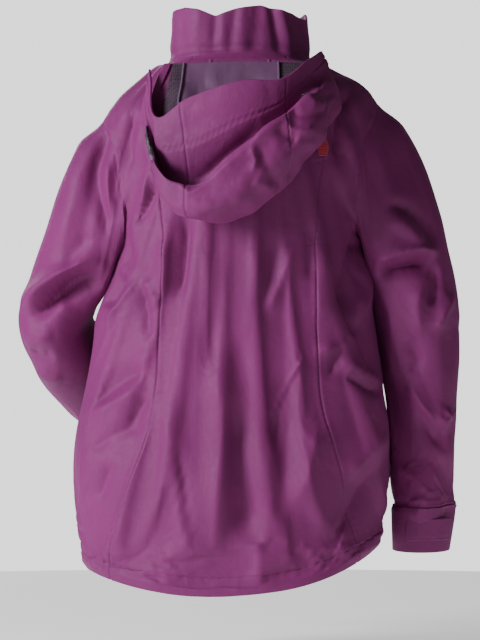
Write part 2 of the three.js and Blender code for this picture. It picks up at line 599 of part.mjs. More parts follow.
// Hood: brim, middle strip and two sides of shell, with one lining inside them.
const HOOD_COLUMN = 0.1;
const HOOD_ROW = 1 / 2;
const seamGap = 0.0015;
const hoodCell = (from, to) => Math.round((to - from) / HOOD_COLUMN);
const hoodRows = { top: CREASE, bottom: NECK_RAIL, along: (NECK_RAIL - CREASE) / HOOD_ROW };
add('hood_brim', hoodSheet({
  from: 0, to: 1, top: RIM, bottom: CREASE - 0.06, across: hoodCell(0, 1), along: 2,
}), SHELL_CLOTH);
add('hood_center_panel', hoodSheet({
  from: HOOD_SEAM, to: 1 - HOOD_SEAM, across: hoodCell(HOOD_SEAM, 1 - HOOD_SEAM), ...hoodRows,
}), SHELL_CLOTH);
add('hood_left_panel', hoodSheet({
  from: 0, to: HOOD_SEAM - seamGap, across: hoodCell(0, HOOD_SEAM), ...hoodRows,
}), SHELL_CLOTH);
add('hood_right_panel', hoodSheet({
  from: 1 - HOOD_SEAM + seamGap, to: 1, across: hoodCell(0, HOOD_SEAM), ...hoodRows,
}), SHELL_CLOTH);
const liningSide = 2 * HOOD_COLUMN;
add('hood_lining', hoodSheet({
  from: liningSide, to: 1 - liningSide, across: hoodCell(liningSide, 1 - liningSide),
  top: RIM + HOOD_ROW, bottom: NECK_RAIL - HOOD_ROW, along: NECK_RAIL / HOOD_ROW - 2,
  outside: SHELL + 2.2, thick: LINING,
}), LINING_CLOTH);

export default jacket;
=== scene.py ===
# %% [markdown]
# # A hardshell jacket in Blender
# The jacket hangs empty, filled out as if worn, with its hood resting down the back. The packed
# model gives the frame: bodies, joints and sizes. The panels and linings are cloth, so they are built
# here again as fine sheets with seams, folds and stitching, and each rides on the body it is sewn to,
# except the two sheets of each sleeve above the cuff, which are left on no body.
# The zips, sliders, pulls and tapes are made again at their own places in the same frame.

# %% Open the frame
import math
import bpy
import numpy as np
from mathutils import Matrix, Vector, noise


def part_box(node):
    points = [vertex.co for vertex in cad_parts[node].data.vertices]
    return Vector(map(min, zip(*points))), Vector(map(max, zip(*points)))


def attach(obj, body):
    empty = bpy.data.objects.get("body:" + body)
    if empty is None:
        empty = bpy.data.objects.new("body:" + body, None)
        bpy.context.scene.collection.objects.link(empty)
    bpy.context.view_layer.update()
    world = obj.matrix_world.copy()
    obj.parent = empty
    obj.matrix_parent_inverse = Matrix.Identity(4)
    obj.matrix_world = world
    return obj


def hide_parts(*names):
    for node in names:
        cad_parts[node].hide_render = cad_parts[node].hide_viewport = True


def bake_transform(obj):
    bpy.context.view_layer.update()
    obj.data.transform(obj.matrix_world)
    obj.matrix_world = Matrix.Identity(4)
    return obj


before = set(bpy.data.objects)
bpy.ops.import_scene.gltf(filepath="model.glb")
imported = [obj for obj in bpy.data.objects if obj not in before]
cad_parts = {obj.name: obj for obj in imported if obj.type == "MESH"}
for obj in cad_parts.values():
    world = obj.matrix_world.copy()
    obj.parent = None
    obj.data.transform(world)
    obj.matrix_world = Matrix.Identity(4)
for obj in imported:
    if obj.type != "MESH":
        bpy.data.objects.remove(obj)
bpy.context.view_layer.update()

# %% [markdown]
# ## Measures
# A pattern cutter works from a short list of body measures, and the sheets below come from the same
# list, in millimetres. Eleven rings run down the body from the neck seam (0) to the hem (10); each
# has a height at the back, side and front, a half width and a depth. A smooth curve through them
# gives the outside of the cloth, so every seam can be found again by its angle and ring.

# %% The body as a smooth surface
MM = 0.001
BACK_LENGTH, FRONT_LENGTH, SIDE_LENGTH = 706, 672, 664
NECK_HALF, NECK_BACK = 98, 66
COLLAR_HEIGHT, COLLAR_FRONT_TOP = 66, 48
ZIP_Y0, ZIP_SLOPE, ZIP_EDGE = -75, 0.11, 14
LEAN, SIDE_SHIFT, SQUARENESS = 0.068, 12, 2.3
SHOULDER_TIP, UNDERARM, YOKE, HEM = 2, 5, 3.1, 10
HEM_BAND = 26
BITE_BACK, BITE_FRONT = 30, 36


def skirt(underarm, length):
    return [underarm + share * (-length - underarm) for share in (0.21, 0.42, 0.63, 0.82)]


RINGS = {
    "back": [0, -45, -95, -150, -205, -258, *skirt(-258, BACK_LENGTH), -BACK_LENGTH],
    "side": [-8, -26, -55, -112, -185, -250, *skirt(-250, SIDE_LENGTH), -SIDE_LENGTH],
    "front": [-50, -85, -122, -165, -212, -258, *skirt(-258, FRONT_LENGTH), -FRONT_LENGTH],
    "half": [NECK_HALF, 146, 184, 178, 167, 165, 183, 199, 211, 205, 193],
    "depth": [NECK_BACK, 84, 100, 109, 113, 113, 107, 112, 124, 128, 128],
}


def smooth(value, low, high):
    t = np.clip((np.asarray(value, float) - low) / (high - low), 0, 1)
    return t * t * (3 - 2 * t)


def through(values, place):
    """A smooth curve through evenly spaced values, read at place (any array)."""
    values = np.asarray(values, float)
    place = np.clip(np.asarray(place, float), 0, len(values) - 1)
    i = np.minimum(place.astype(int), len(values) - 2)
    ends = np.concatenate([[2 * values[0] - values[1]], values, [2 * values[-1] - values[-2]]])
    v0, v1, v2, v3 = ends[i], ends[i + 1], ends[i + 2], ends[i + 3]
    f = (place - i).reshape(place.shape + (1,) * (values.ndim - 1))
    return 0.5 * (2 * v1 + (v2 - v0) * f + (2 * v0 - 5 * v1 + 4 * v2 - v3) * f**2
                  + (3 * v1 - 3 * v2 + v3 - v0) * f**3)


def zip_y(z):
    return ZIP_Y0 + ZIP_SLOPE * np.asarray(z, float)


def body(angle, ring):
    """Points on the outside of the body. Angle 0 is the back, 90 the wearer's left, 180 the front."""
    angle, ring = np.broadcast_arrays(np.asarray(angle, float), np.asarray(ring, float))
    s, c = np.sin(np.radians(angle)), np.cos(np.radians(angle))
    middle = np.where(c > 0, through(RINGS["back"], ring), through(RINGS["front"], ring))
    x = through(RINGS["half"], ring) * np.sign(s) * np.abs(s) ** (2 / SQUARENESS)
    reach = np.where(c > 0, through(RINGS["depth"], ring), -zip_y(middle))
    y = reach * np.sign(c) * np.abs(c) ** (2 / SQUARENESS)
    z = middle + (through(RINGS["side"], ring) - middle) * s * s
    shift = SIDE_SHIFT * s * s * smooth(ring, UNDERARM, UNDERARM + 1)
    return np.stack([x + shift, y, z - LEAN * x * smooth(ring, 0, 1.5)], -1)


def armhole_bite(ring, bite):
    part = np.clip((np.asarray(ring, float) - SHOULDER_TIP) / (UNDERARM - SHOULDER_TIP), 0, 1)
    return bite * np.sin(np.arccos(1 - 2 * part)) ** 0.7


def seam_angle(ring):
    return 36 * (1 - 0.16 * smooth(ring, 4, 7) + 0.72 * smooth(ring, 7, 10.4))


def zip_angle(ring):
    half = through(RINGS["half"], ring)
    return 180 - np.degrees(np.arcsin((ZIP_EDGE / half) ** (SQUARENESS / 2)))


print("hem half width", RINGS["half"][-1], "mm, back length", BACK_LENGTH, "mm")

# %% [markdown]
# ## Sleeves
# A set-in sleeve starts on the armhole and is a tube that bends once, at the elbow. The wearer's
# right arm hangs; the left one is bent forward. Both tubes use the armhole's own points for their
# first ring, because a sewn seam has no gap.

# %% The sleeves as smooth tubes
ELBOW_HALF, FOREARM, FOREARM_BOW, CUFF_LENGTH = 57, 306, 7, 60
ELBOW_GAP, ELBOW_MITRE = 16, 40
FOREARM_HALF = [55, 52, 47, 43.5, 42, 41, 36.5]


def unit(v):
    v = np.asarray(v, float)
    return v / np.linalg.norm(v, axis=-1, keepdims=True)


def turned(v, a, b):
    """v turned by the rotation that takes direction a to direction b."""
    axis = np.cross(a, b)
    c = float(np.dot(a, b))
    return v * c + np.cross(axis, v) + axis * float(np.dot(axis, v)) / (1 + c)


def make_arm(side, shoulder, elbow, lower, elbow_half, hinge=None, upper=None):
    arm = {"side": side, "shoulder": np.array(shoulder, float), "elbow": np.array(elbow, float)}
    arm["lower"] = unit(lower)
    arm["upper"] = unit(upper) if upper is not None else unit(arm["elbow"] - arm["shoulder"])
    arm["hinge"] = unit(hinge) if hinge is not None else unit(np.cross(arm["upper"], arm["lower"]))
    outer = np.array([side, 0, 0.0])
    arm["outer"] = unit(outer - arm["upper"] * side * arm["upper"][0])
    arm["back"] = unit(np.cross(arm["outer"], arm["upper"])) * side
    arm["outer_low"] = turned(arm["outer"], arm["upper"], arm["lower"])
    arm["back_low"] = turned(arm["back"], arm["upper"], arm["lower"])
    arm["bend_upper"] = unit(np.cross(arm["hinge"], arm["upper"]))
    arm["bend_lower"] = unit(np.cross(arm["hinge"], arm["lower"]))
    arm["elbow_half"] = elbow_half
    return arm


hang = unit([(241 - 243.5) / FOREARM, -0.062, -1])
RIGHT = make_arm(-1, (-165, 0, -85), (-241, -14, -350), hang, (57, 57), (-1, 0, 0),
                 unit(hang + np.array([-0.05, 0, 0])))
LEFT = make_arm(1, (166, 0, -92), (257, -28, -350), (-0.39, -0.7, -0.6), (45, 56))


def ring_at(centre, outer, back, halves, turn):
    a = np.asarray(turn, float)[..., None] * 2 * math.pi
    return centre + outer * halves[0] * np.cos(a) + back * halves[1] * np.sin(a)


def elbow_cut(offset, bend):
    return ELBOW_GAP / 2 + math.tan(math.radians(ELBOW_MITRE)) * np.maximum(0, offset @ bend)


def forearm(arm, turn, distance):
    turn, distance = np.broadcast_arrays(np.asarray(turn, float), np.asarray(distance, float))
    half = through(FOREARM_HALF, distance / FOREARM * (len(FOREARM_HALF) - 1))[..., None]
    flat = arm["elbow_half"][0] / ELBOW_HALF
    flat = (flat + (1 - flat) * smooth(distance, 0, 90))[..., None]
    bow = FOREARM_BOW * np.sin(math.pi * distance / FOREARM)[..., None]
    centre = arm["elbow"] + arm["lower"] * distance[..., None] + arm["outer_low"] * bow
    a = turn[..., None] * 2 * math.pi
    return centre + arm["outer_low"] * half * flat * np.cos(a) + arm["back_low"] * half * np.sin(a)


def sleeve_grid(arm, start, turn, rows):
    """Rows of the sleeve from the armhole points to the cuff: rows = (upper, elbow, lower, cuff)."""
    end = ring_at(arm["elbow"], arm["outer"], arm["back"], arm["elbow_half"], turn)
    reach = np.linalg.norm(end - start, axis=-1, keepdims=True)
    top = (1 + np.cos(turn * 2 * math.pi)) / 2
    leave = unit(np.stack([arm["side"] * (0.16 + 0.56 * top), 0 * top, -(0.98 - 0.28 * top)], -1))
    cut = elbow_cut(end - arm["elbow"], arm["bend_upper"])
    upto = 1 - cut / reach[:, 0]
    t = (np.linspace(0, 1, rows[0] + 1)[:, None] * upto)[..., None]
    upper = (start * (2 * t**3 - 3 * t**2 + 1) + leave * reach * (t**3 - 2 * t**2 + t)
             + end * (3 * t**2 - 2 * t**3) + arm["upper"] * reach * (t**3 - t**2))
    first = elbow_cut(forearm(arm, turn, 0 * turn) - arm["elbow"], arm["bend_lower"])
    cuff_start = FOREARM - CUFF_LENGTH
    along = first + (cuff_start - first) * np.linspace(0, 1, rows[2] + 1)[:, None]
    lower = forearm(arm, turn + 0 * along, along)
    span = np.linalg.norm(lower[0] - upper[-1], axis=-1, keepdims=True)
    leave_up, reach_low = unit(upper[-1] - upper[-2]) * span, unit(lower[1] - lower[0]) * span
    t = np.linspace(0, 1, rows[1] + 1)[1:-1, None, None]
    elbow = (upper[-1] * (2 * t**3 - 3 * t**2 + 1) + leave_up * (t**3 - 2 * t**2 + t)
             + lower[0] * (3 * t**2 - 2 * t**3) + reach_low * (t**3 - t**2))
    along_cuff = cuff_start + np.linspace(0, CUFF_LENGTH, rows[3] + 1)[1:, None]
    cuff = forearm(arm, turn + 0 * along[:1], along_cuff)
    return np.concatenate([upper, elbow, lower, cuff])


print("left elbow bends", round(math.degrees(math.acos(LEFT["upper"] @ LEFT["lower"]))), "degrees")

# %% [markdown]
# ## One net of cloth
# The body and both sleeves are drawn as one net of about 6 mm squares, with shared points along the
# armholes and side seams. Folds, smoothing and the cloth simulation then run across the seams as
# they do in real cloth, and the net is only cut into its sewn panels at the end.

# %% The net's rows and columns
BACK_COLUMNS = (24, 40, 24)
FRONT_COLUMNS = 44
ARMHOLE_ROWS = 30
SLEEVE_ROWS = (46, 7, 38, 10)


def evenly(curve, low, high, count):
    """Ring values from low to high that are evenly spaced along curve(ring)."""
    fine = np.linspace(low, high, 400)
    steps = np.linalg.norm(np.diff(curve(fine), axis=0), axis=1)
    length = np.concatenate([[0], np.cumsum(steps)])
    return np.interp(np.linspace(0, length[-1], count + 1), length, fine)


def down_back(ring):
    return body(0 * ring, ring)


def round_armhole(ring):
    return body(90 - armhole_bite(ring, BITE_BACK), ring)


hem_top = HEM - HEM_BAND / 80
rings = np.concatenate([
    evenly(down_back, 0, SHOULDER_TIP, 14)[:-1],
    evenly(round_armhole, SHOULDER_TIP, UNDERARM, ARMHOLE_ROWS)[:-1],
    evenly(down_back, UNDERARM, hem_top, 66)[:-1],
    evenly(down_back, hem_top, HEM, 4),
])
ROW_TIP, ROW_UNDERARM = 14, 14 + ARMHOLE_ROWS
ROW_HEM = len(rings) - 1
ROW_YOKE = int(np.argmin(np.abs(rings - YOKE)))


def columns_between(edges, counts):
    """Angles for each ring, with a set number of columns between each two edges."""
    parts = [edges[0](rings)[:, None]]
    for a, b, count in zip(edges, edges[1:], counts):
        share = np.arange(1, count + 1) / count
        parts.append(a(rings)[:, None] + (b(rings) - a(rings))[:, None] * share)
    return np.concatenate(parts, 1)


def back_edge(ring):
    return 90 - armhole_bite(ring, BITE_BACK)


def front_edge(ring):
    return 90 + armhole_bite(ring, BITE_FRONT)


back_angles = columns_between(
    [lambda r: -back_edge(r), lambda r: -seam_angle(r), seam_angle, back_edge], BACK_COLUMNS)
left_angles = columns_between([front_edge, zip_angle], (FRONT_COLUMNS,))
nets = {
    "back": body(back_angles, rings[:, None]),
    "front_left": body(left_angles, rings[:, None]),
    "front_right": body(-left_angles, rings[:, None]),
}
part = np.arccos(1 - 2 * (rings[ROW_TIP:ROW_UNDERARM + 1] - SHOULDER_TIP) / 3) / math.pi
turns = np.concatenate([part / 2, 1 - part[-2:0:-1] / 2])
for name, arm, column, front in (("sleeve_left", LEFT, -1, "front_left"),
                                 ("sleeve_right", RIGHT, 0, "front_right")):
    start = np.concatenate([nets["back"][ROW_TIP:ROW_UNDERARM + 1, column],
                            nets[front][ROW_UNDERARM - 1:ROW_TIP:-1, 0]])
    nets[name] = sleeve_grid(arm, start, turns, SLEEVE_ROWS)
print({name: net.shape[:2] for name, net in nets.items()})

# %% Number the points so that seams share them
ids, count = {}, 0
for name, net in nets.items():
    ids[name] = count + np.arange(net.shape[0] * net.shape[1]).reshape(net.shape[:2])
    count += ids[name].size
closed = np.r_[0:ROW_TIP + 1, ROW_UNDERARM:len(rings)]
for front, column, sleeve in (("front_left", -1, "sleeve_left"), ("front_right", 0, "sleeve_right")):
    ids[front][closed, 0] = ids["back"][closed, column]
    ids[sleeve][0] = np.concatenate([ids["back"][ROW_TIP:ROW_UNDERARM + 1, column],
                                     ids[front][ROW_UNDERARM - 1:ROW_TIP:-1, 0]])


def squares(grid, ring=False):
    """Corner numbers of every square of a grid of point numbers."""
    if ring:
        grid = np.concatenate([grid, grid[:, :1]], 1)
    return np.stack([grid[:-1, :-1], grid[:-1, 1:], grid[1:, 1:], grid[1:, :-1]], -1).reshape(-1, 4)


cloth = np.zeros((count, 3))
for name, net in nets.items():
    cloth[ids[name]] = net
faces = np.concatenate([
    squares(ids["back"]), squares(ids["front_left"]), squares(ids["front_right"])[:, ::-1],
    squares(ids["sleeve_left"], ring=True), squares(ids["sleeve_right"], ring=True)[:, ::-1],
])
used = np.unique(faces)
lookup = np.zeros(count, int)
lookup[used] = np.arange(len(used))
for name in ids:
    ids[name] = lookup[ids[name]]
cloth, faces = cloth[used], lookup[faces]
print("net:", len(cloth), "points,", len(faces), "squares")

# %% [markdown]
# ## Helpers for cloth
# Three small tools shape the net: normals, a relaxing brush that evens out kinks, and a fold brush.
# The fold brush works like drawing with tailor's chalk on the hanging jacket: a line in x and z, as
# seen from behind (or from the front), that raises or sinks the cloth along it.

# %% Normals and relaxing
def normals_of(points, faces):
    a, b, c, d = (points[faces[:, k]] for k in range(4))
    face = np.cross(c - a, d - b)
    total = np.zeros_like(points)
    for k in range(4):
        np.add.at(total, faces[:, k], face)
    return total / np.maximum(np.linalg.norm(total, axis=1, keepdims=True), 1e-9)


outward = np.sum(normals_of(cloth, faces)[ids["back"][60]] * np.array([0, 1, 0]), 1).mean()
if outward < 0:
    faces = faces[:, ::-1]
for name in ("sleeve_left", "sleeve_right"):
    ring = cloth[ids[name]]
    from_axis = ring - ring.mean(1, keepdims=True)
    if (normals_of(cloth, faces)[ids[name]] * from_axis).sum() < 0:
        in_sleeve = np.zeros(len(cloth), bool)
        in_sleeve[ids[name][1:]] = True
        turn_round = in_sleeve[faces].any(1)
        faces[turn_round] = faces[turn_round][:, ::-1]
edges = np.unique(np.sort(np.concatenate([faces[:, [k, (k + 1) % 4]] for k in range(4)]), axis=1), axis=0)
neighbours = np.bincount(edges.ravel(), minlength=len(cloth))[:, None]


def relax(points, weight, times, strength=0.5):
    """Moves each point towards the middle of its neighbours, as far as its weight lets it."""
    points = points.copy()
    for _ in range(times):
        total = np.zeros_like(points)
        np.add.at(total, edges[:, 0], points[edges[:, 1]])
        np.add.at(total, edges[:, 1], points[edges[:, 0]])
        points += (total / neighbours - points) * (weight * strength)[:, None]
    return points


def distance_to(points, targets):
    """Distance from each point to the nearest of a few hundred targets."""
    best = np.full(len(points), 1e9)
    for chunk in np.array_split(np.arange(len(targets)), max(1, len(targets) // 40)):
        gap = np.linalg.norm(points[:, None] - targets[None, chunk], axis=2).min(1)
        best = np.minimum(best, gap)
    return best


armhole_ids = np.unique(np.concatenate([ids["sleeve_left"][0], ids["sleeve_right"][0]]))
near_armhole = distance_to(cloth, cloth[armhole_ids])
edge_ids = np.unique(np.concatenate([ids["back"][0], ids["front_left"][0], ids["front_right"][0],
                                     ids["back"][-1], ids["front_left"][-1], ids["front_right"][-1],
                                     ids["front_left"][:, -1], ids["front_right"][:, -1]]))
free = np.ones(len(cloth))
free[edge_ids] = 0
for name in ("sleeve_left", "sleeve_right"):
    free[ids[name][-11:]] = 0
cloth = relax(cloth, free * (1 - smooth(near_armhole, 10, 55)), 50)
print("armhole relaxed; mean move", round(float(np.abs(cloth[armhole_ids]).mean()), 1))

# %% The fold brush
zone = np.zeros(len(cloth), int)
ZONES = {"body": 0, "left": 1, "right": 2}
for name, number in (("sleeve_left", 1), ("sleeve_right", 2)):
    zone[ids[name][1:]] = number


def line_distance(points, path):
    """Signed distance to a line, and the place along it from 0 to 1, for points in a plane."""
    path = np.asarray(path, float)
    a, b = path[:-1], path[1:]
    run = b - a
    lengths = np.linalg.norm(run, axis=1)
    t = np.clip(((points[:, None] - a) * run).sum(2) / lengths**2, 0, 1)
    gap = points[:, None] - (a + t[..., None] * run)
    size = np.linalg.norm(gap, axis=2)
    best = size.argmin(1)
    pick = np.arange(len(points)), best
    side = np.sign(run[best, 0] * gap[pick][:, 1] - run[best, 1] * gap[pick][:, 0])
    start = np.concatenate([[0], np.cumsum(lengths)])[:-1]
    place = (start[best] + t[pick] * lengths[best]) / lengths.sum()
    return size[pick] * side, place


def spline(path, steps=8):
    path = np.asarray(path, float)
    return through(path, np.linspace(0, len(path) - 1, (len(path) - 1) * steps + 1))


def fold(points, normals, path, height, width, mask, kind="soft", seen="back", ends=(0.3, 0.3)):
    """Adds one fold. kind: soft (round), sharp (a crest), or step (high on one side, low on the
    other, the high side to the left of the line as it is drawn)."""
    path = spline(path) if len(path) > 2 else np.asarray(path, float)
    low, high = path.min(0) - 3.2 * width, path.max(0) + 3.2 * width
    flat = points[:, [0, 2]]
    facing = normals[:, 1] if seen == "back" else -normals[:, 1]
    near = np.flatnonzero(mask & (facing > 0.02) & (flat > low).all(1) & (flat < high).all(1))
    if not len(near):
        return
    gap, place = line_distance(flat[near], path)
    taper = smooth(place, 0, max(ends[0], 1e-6)) * smooth(1 - place, 0, max(ends[1], 1e-6))
    d = gap / width
    if kind == "sharp":
        shape = np.exp(-np.abs(d) ** 1.15)
    elif kind == "step":
        shape = 2.33 * d * np.exp(-d * d)
    else:
        shape = np.exp(-np.abs(d) ** 1.55)
    points[near] += normals[near] * (height * shape * taper * smooth(facing[near], 0.02, 0.4))[:, None]


print("zones:", {name: int((zone == number).sum()) for name, number in ZONES.items()})

# %% [markdown]
# ## The big folds
# The cloth is a stiff three-layer laminate, so it breaks into a few long, clean folds instead of
# many soft ones: drag lines that run from the underarm to the waist, long hanging folds down the
# back, a deep roll where each sleeve's upper half hangs over the lower, and short ones at the elbow.

# %% Folds on the body's back
BODY_FOLDS = [  # path in x, z; height; width; kind
    ([(128, -98), (112, -150), (100, -178)], 4, 9, "soft"),
    ([(140, -66), (150, -112), (138, -158)], -6, 9, "soft"),
    ([(121, -150), (126, -186), (136, -212)], 5, 8, "sharp"),
    ([(108, -166), (124, -196), (138, -222)], -6, 8, "soft"),
    ([(158, -180), (158, -214), (150, -246), (134, -284)], -8, 10, "soft"),
    ([(140, -196), (138, -236), (124, -288)], 5, 10, "soft"),
    ([(84, -196), (75, -232), (79, -290), (94, -330)], -9, 13, "soft"),
    ([(104, -232), (100, -280), (104, -322)], 5, 12, "soft"),
    ([(133, -288), (158, -322), (186, -356)], 7, 8, "sharp"),
    ([(150, -282), (170, -306), (184, -330)], -7, 10, "soft"),
    ([(131, -296), (127, -330), (122, -380)], -6, 8, "soft"),
    ([(130, -290), (116, -312), (110, -334)], 5, 6, "sharp"),
    ([(116, -412), (152, -420), (186, -446), (204, -470)], -8, 12, "soft"),
    ([(120, -432), (158, -448), (204, -474)], 6, 11, "soft"),
    ([(116, -488), (152, -486), (184, -502), (212, -522)], -7, 13, "soft"),
    ([(122, -444), (134, -464), (147, -484)], -5, 8, "soft"),
    ([(170, -532), (184, -560), (193, -588)], -4, 10, "soft"),
    ([(112, -424), (90, -500), (74, -590), (68, -664)], 6, 15, "soft"),
    ([(87, -494), (76, -560), (66, -640)], -5, 10, "soft"),
    ([(50, -372), (30, -430), (22, -500), (26, -570), (40, -640)], 11, 26, "soft"),
    ([(8, -440), (4, -520), (-6, -590), (-4, -650)], -13, 24, "soft"),
    ([(-88, -384), (-62, -434), (-38, -488)], 5, 7, "sharp"),
    ([(-78, -404), (-52, -460), (-44, -520)], -6, 11, "soft"),
    ([(-66, -452), (-60, -540), (-50, -616)], -6, 18, "soft"),
    ([(-100, -470), (-90, -540), (-70, -600)], 8, 24, "soft"),
    ([(-208, -512), (-178, -544), (-152, -592), (-118, -650)], -9, 17, "soft"),
    ([(-204, -492), (-172, -520), (-140, -560)], 5, 14, "soft"),
    ([(-132, -412), (-166, -434), (-196, -442)], -5, 7, "soft"),
    ([(-134, -400), (-170, -420), (-194, -430)], 4, 8, "soft"),
    ([(-174, -212), (-152, -252), (-138, -306), (-138, -348)], -10, 12, "soft"),
    ([(-178, -232), (-166, -272), (-162, -320), (-148, -362)], 8, 10, "sharp"),
    ([(-112, -240), (-108, -300), (-112, -360)], 4, 14, "soft"),
    ([(-76, -240), (-56, -290), (-32, -346)], 5, 12, "soft"),
    ([(-60, -230), (-40, -290), (-14, -350)], -5, 14, "soft"),
    ([(-30, -250), (-10, -330), (0, -400)], 4, 20, "soft"),
    ([(-156, -30), (-134, -74), (-125, -108), (-130, -150)], -8, 9, "soft"),
    ([(-146, -80), (-146, -130), (-138, -190)], 5, 12, "soft"),
    ([(-92, -214), (-98, -250), (-92, -300)], -4, 9, "soft"),
    ([(48, -250), (40, -320), (52, -372)], 4, 22, "soft"),
    ([(-150, -360), (-128, -392), (-120, -430)], -5, 9, "soft"),
    ([(-96, -388), (-132, -380), (-160, -362)], 4, 7, "soft"),
    ([(150, -600), (158, -640), (152, -668)], 3, 12, "soft"),
    ([(-20, -620), (-24, -660), (-20, -700)], 3, 12, "soft"),
]
x, z = cloth[:, 0].copy(), cloth[:, 2].copy()
at_elbow = np.exp(-((z + 335) / 40) ** 2)
beside = smooth(-z, 250, 310) * smooth(z, -610, -550)
cloth[:, 0] += np.where(zone == ZONES["left"], -8 * at_elbow * smooth(218 - x, 0, 26), 0)
cloth[:, 0] += np.where(zone == ZONES["body"], 4.5 * at_elbow * smooth(x, 150, 182), 0)
cloth[:, 0] += np.where(zone == ZONES["right"], 3.5 * beside * smooth(x, -232, -206), 0)
cloth[:, 0] += np.where(zone == ZONES["body"], -3.5 * beside * smooth(-x, 145, 180), 0)
DEPTH = 1.6  # all drawn folds are made this much deeper, because the settling softens them
lines = normals_of(cloth, faces)
for path, height, width, kind in BODY_FOLDS:
    fold(cloth, lines, path, height * DEPTH, width, zone == 0, kind)
print(len(BODY_FOLDS), "folds on the back")

# %% Folds on the sleeves and the front
SLEEVE_FOLDS = [  # which sleeve, path, height, width, kind, seen from
    ("left", [(170, -276), (200, -286), (236, -300), (266, -322), (290, -350)], 8, 14, "step", "back"),
    ("left", [(186, -296), (214, -308), (244, -326)], -6, 14, "soft", "back"),
    ("left", [(164, -70), (184, -112), (194, -152), (186, -200), (174, -246)], -8, 10, "soft", "back"),
    ("left", [(176, -130), (178, -170), (172, -214)], 6, 9, "soft", "back"),
    ("left", [(214, -120), (226, -190), (246, -262)], 4, 16, "soft", "back"),
    ("left", [(182, -262), (214, -270), (262, -294), (300, -340)], 6, 12, "soft", "back"),
    ("left", [(180, -276), (214, -288), (258, -316), (292, -352)], -12, 10, "soft", "back"),
    ("left", [(200, -232), (226, -256), (236, -286)], -3, 9, "soft", "back"),
    ("left", [(296, -366), (272, -370), (250, -366)], 4, 7, "sharp", "back"),
    ("left", [(290, -384), (268, -396), (250, -392)], -5, 8, "soft", "back"),
    ("left", [(276, -410), (258, -420), (240, -424)], 4, 8, "soft", "back"),
    ("right", [(-178, -60), (-172, -106), (-178, -152), (-190, -200)], -3, 7, "soft", "back"),
    ("right", [(-190, -192), (-226, -202), (-250, -224), (-260, -252)], -7, 9, "soft", "back"),
    ("right", [(-196, -214), (-226, -226), (-248, -250)], 5, 10, "soft", "back"),
    ("right", [(-170, -276), (-206, -262), (-240, -254), (-276, -256)], 10, 10, "sharp", "back"),
    ("right", [(-172, -294), (-206, -280), (-240, -272), (-272, -268)], -16, 12, "soft", "back"),
    ("right", [(-264, -270), (-262, -300), (-256, -330)], -6, 8, "soft", "back"),
    ("right", [(-290, -304), (-276, -330), (-258, -366)], 6, 9, "sharp", "back"),
    ("right", [(-244, -296), (-238, -330), (-246, -372)], 4, 10, "soft", "back"),
    ("right", [(-222, -372), (-238, -396), (-228, -420)], -5, 9, "soft", "back"),
    ("right", [(-226, -424), (-248, -462), (-266, -486)], 6, 9, "sharp", "back"),
    ("right", [(-284, -462), (-276, -478), (-266, -486)], 6, 7, "sharp", "back"),
    ("right", [(-238, -462), (-262, -502), (-284, -486)], -5, 9, "soft", "back"),
    ("right", [(-214, -300), (-204, -380), (-210, -450)], 3, 14, "soft", "back"),
    ("right", [(-276, -520), (-280, -580), (-276, -640)], -5, 12, "soft", "back"),
    ("right", [(-246, -530), (-240, -580), (-244, -630)], 4, 18, "soft", "back"),
    ("right", [(-206, -240), (-232, -262), (-262, -270)], 5, 12, "soft", "front"),
    ("right", [(-196, -290), (-230, -310), (-270, -330)], -6, 12, "soft", "front"),
    ("right", [(-200, -350), (-236, -366), (-270, -400)], 5, 10, "soft", "front"),
    ("left", [(190, -240), (226, -262), (270, -280)], 5, 12, "soft", "front"),
    ("left", [(190, -280), (230, -300), (280, -300)], -6, 12, "soft", "front"),
]
FRONT_FOLDS = [
    ([(150, -190), (120, -250), (96, -330)], 5, 14, "soft"),
    ([(158, -250), (130, -310), (112, -390)], -6, 14, "soft"),
    ([(-150, -190), (-122, -260), (-100, -340)], 5, 14, "soft"),
    ([(-160, -260), (-130, -330), (-118, -400)], -6, 14, "soft"),
    ([(70, -200), (60, -320), (66, -430)], 4, 20, "soft"),
    ([(-66, -220), (-56, -320), (-70, -440)], 4, 20, "soft"),
    ([(160, -430), (110, -470), (70, -540)], -5, 16, "soft"),
    ([(-160, -440), (-110, -480), (-74, -550)], -5, 16, "soft"),
    ([(150, -540), (120, -600), (110, -660)], 4, 16, "soft"),
    ([(-150, -540), (-124, -600), (-112, -660)], 4, 16, "soft"),
]
lines = normals_of(cloth, faces)
for which, path, height, width, kind, seen in SLEEVE_FOLDS:
    fold(cloth, lines, path, height * DEPTH, width, zone == ZONES[which], kind, seen)
for path, height, width, kind in FRONT_FOLDS:
    fold(cloth, lines, path, height * DEPTH, width, zone == 0, kind, "front")


def ripple(points, size, seed, stretch=(1, 1, 1)):
    """A smooth random field from -1 to 1 with features of a given size in millimetres."""
    at = points * np.array(stretch) / size + np.array([seed * 7.3, seed * 3.1, seed * 5.7])
    return np.array([noise.noise(Vector(p)) for p in at])


inner = free * smooth(near_armhole, 0, 30)
lines = normals_of(cloth, faces)
cloth += lines * ((ripple(cloth, 95, 1, (1, 1, 0.5)) * 5 + ripple(cloth, 38, 2, (1, 1, 0.6)) * 1.6)
                  * inner)[:, None]
print(len(SLEEVE_FOLDS), "folds on the sleeves,", len(FRONT_FOLDS), "on the front")

# %% [markdown]
# ## Let the cloth settle
# A short cloth simulation with the seams' ends pinned gives the small, honest wrinkles that drawing
# can't: the cloth is grown by about 2%, so it has to buckle somewhere, and gravity decides where.
# Most of the slow, wide sag is taken out again and the rest is capped, so that the jacket keeps its
# measured size and the drawn folds stay where they are.

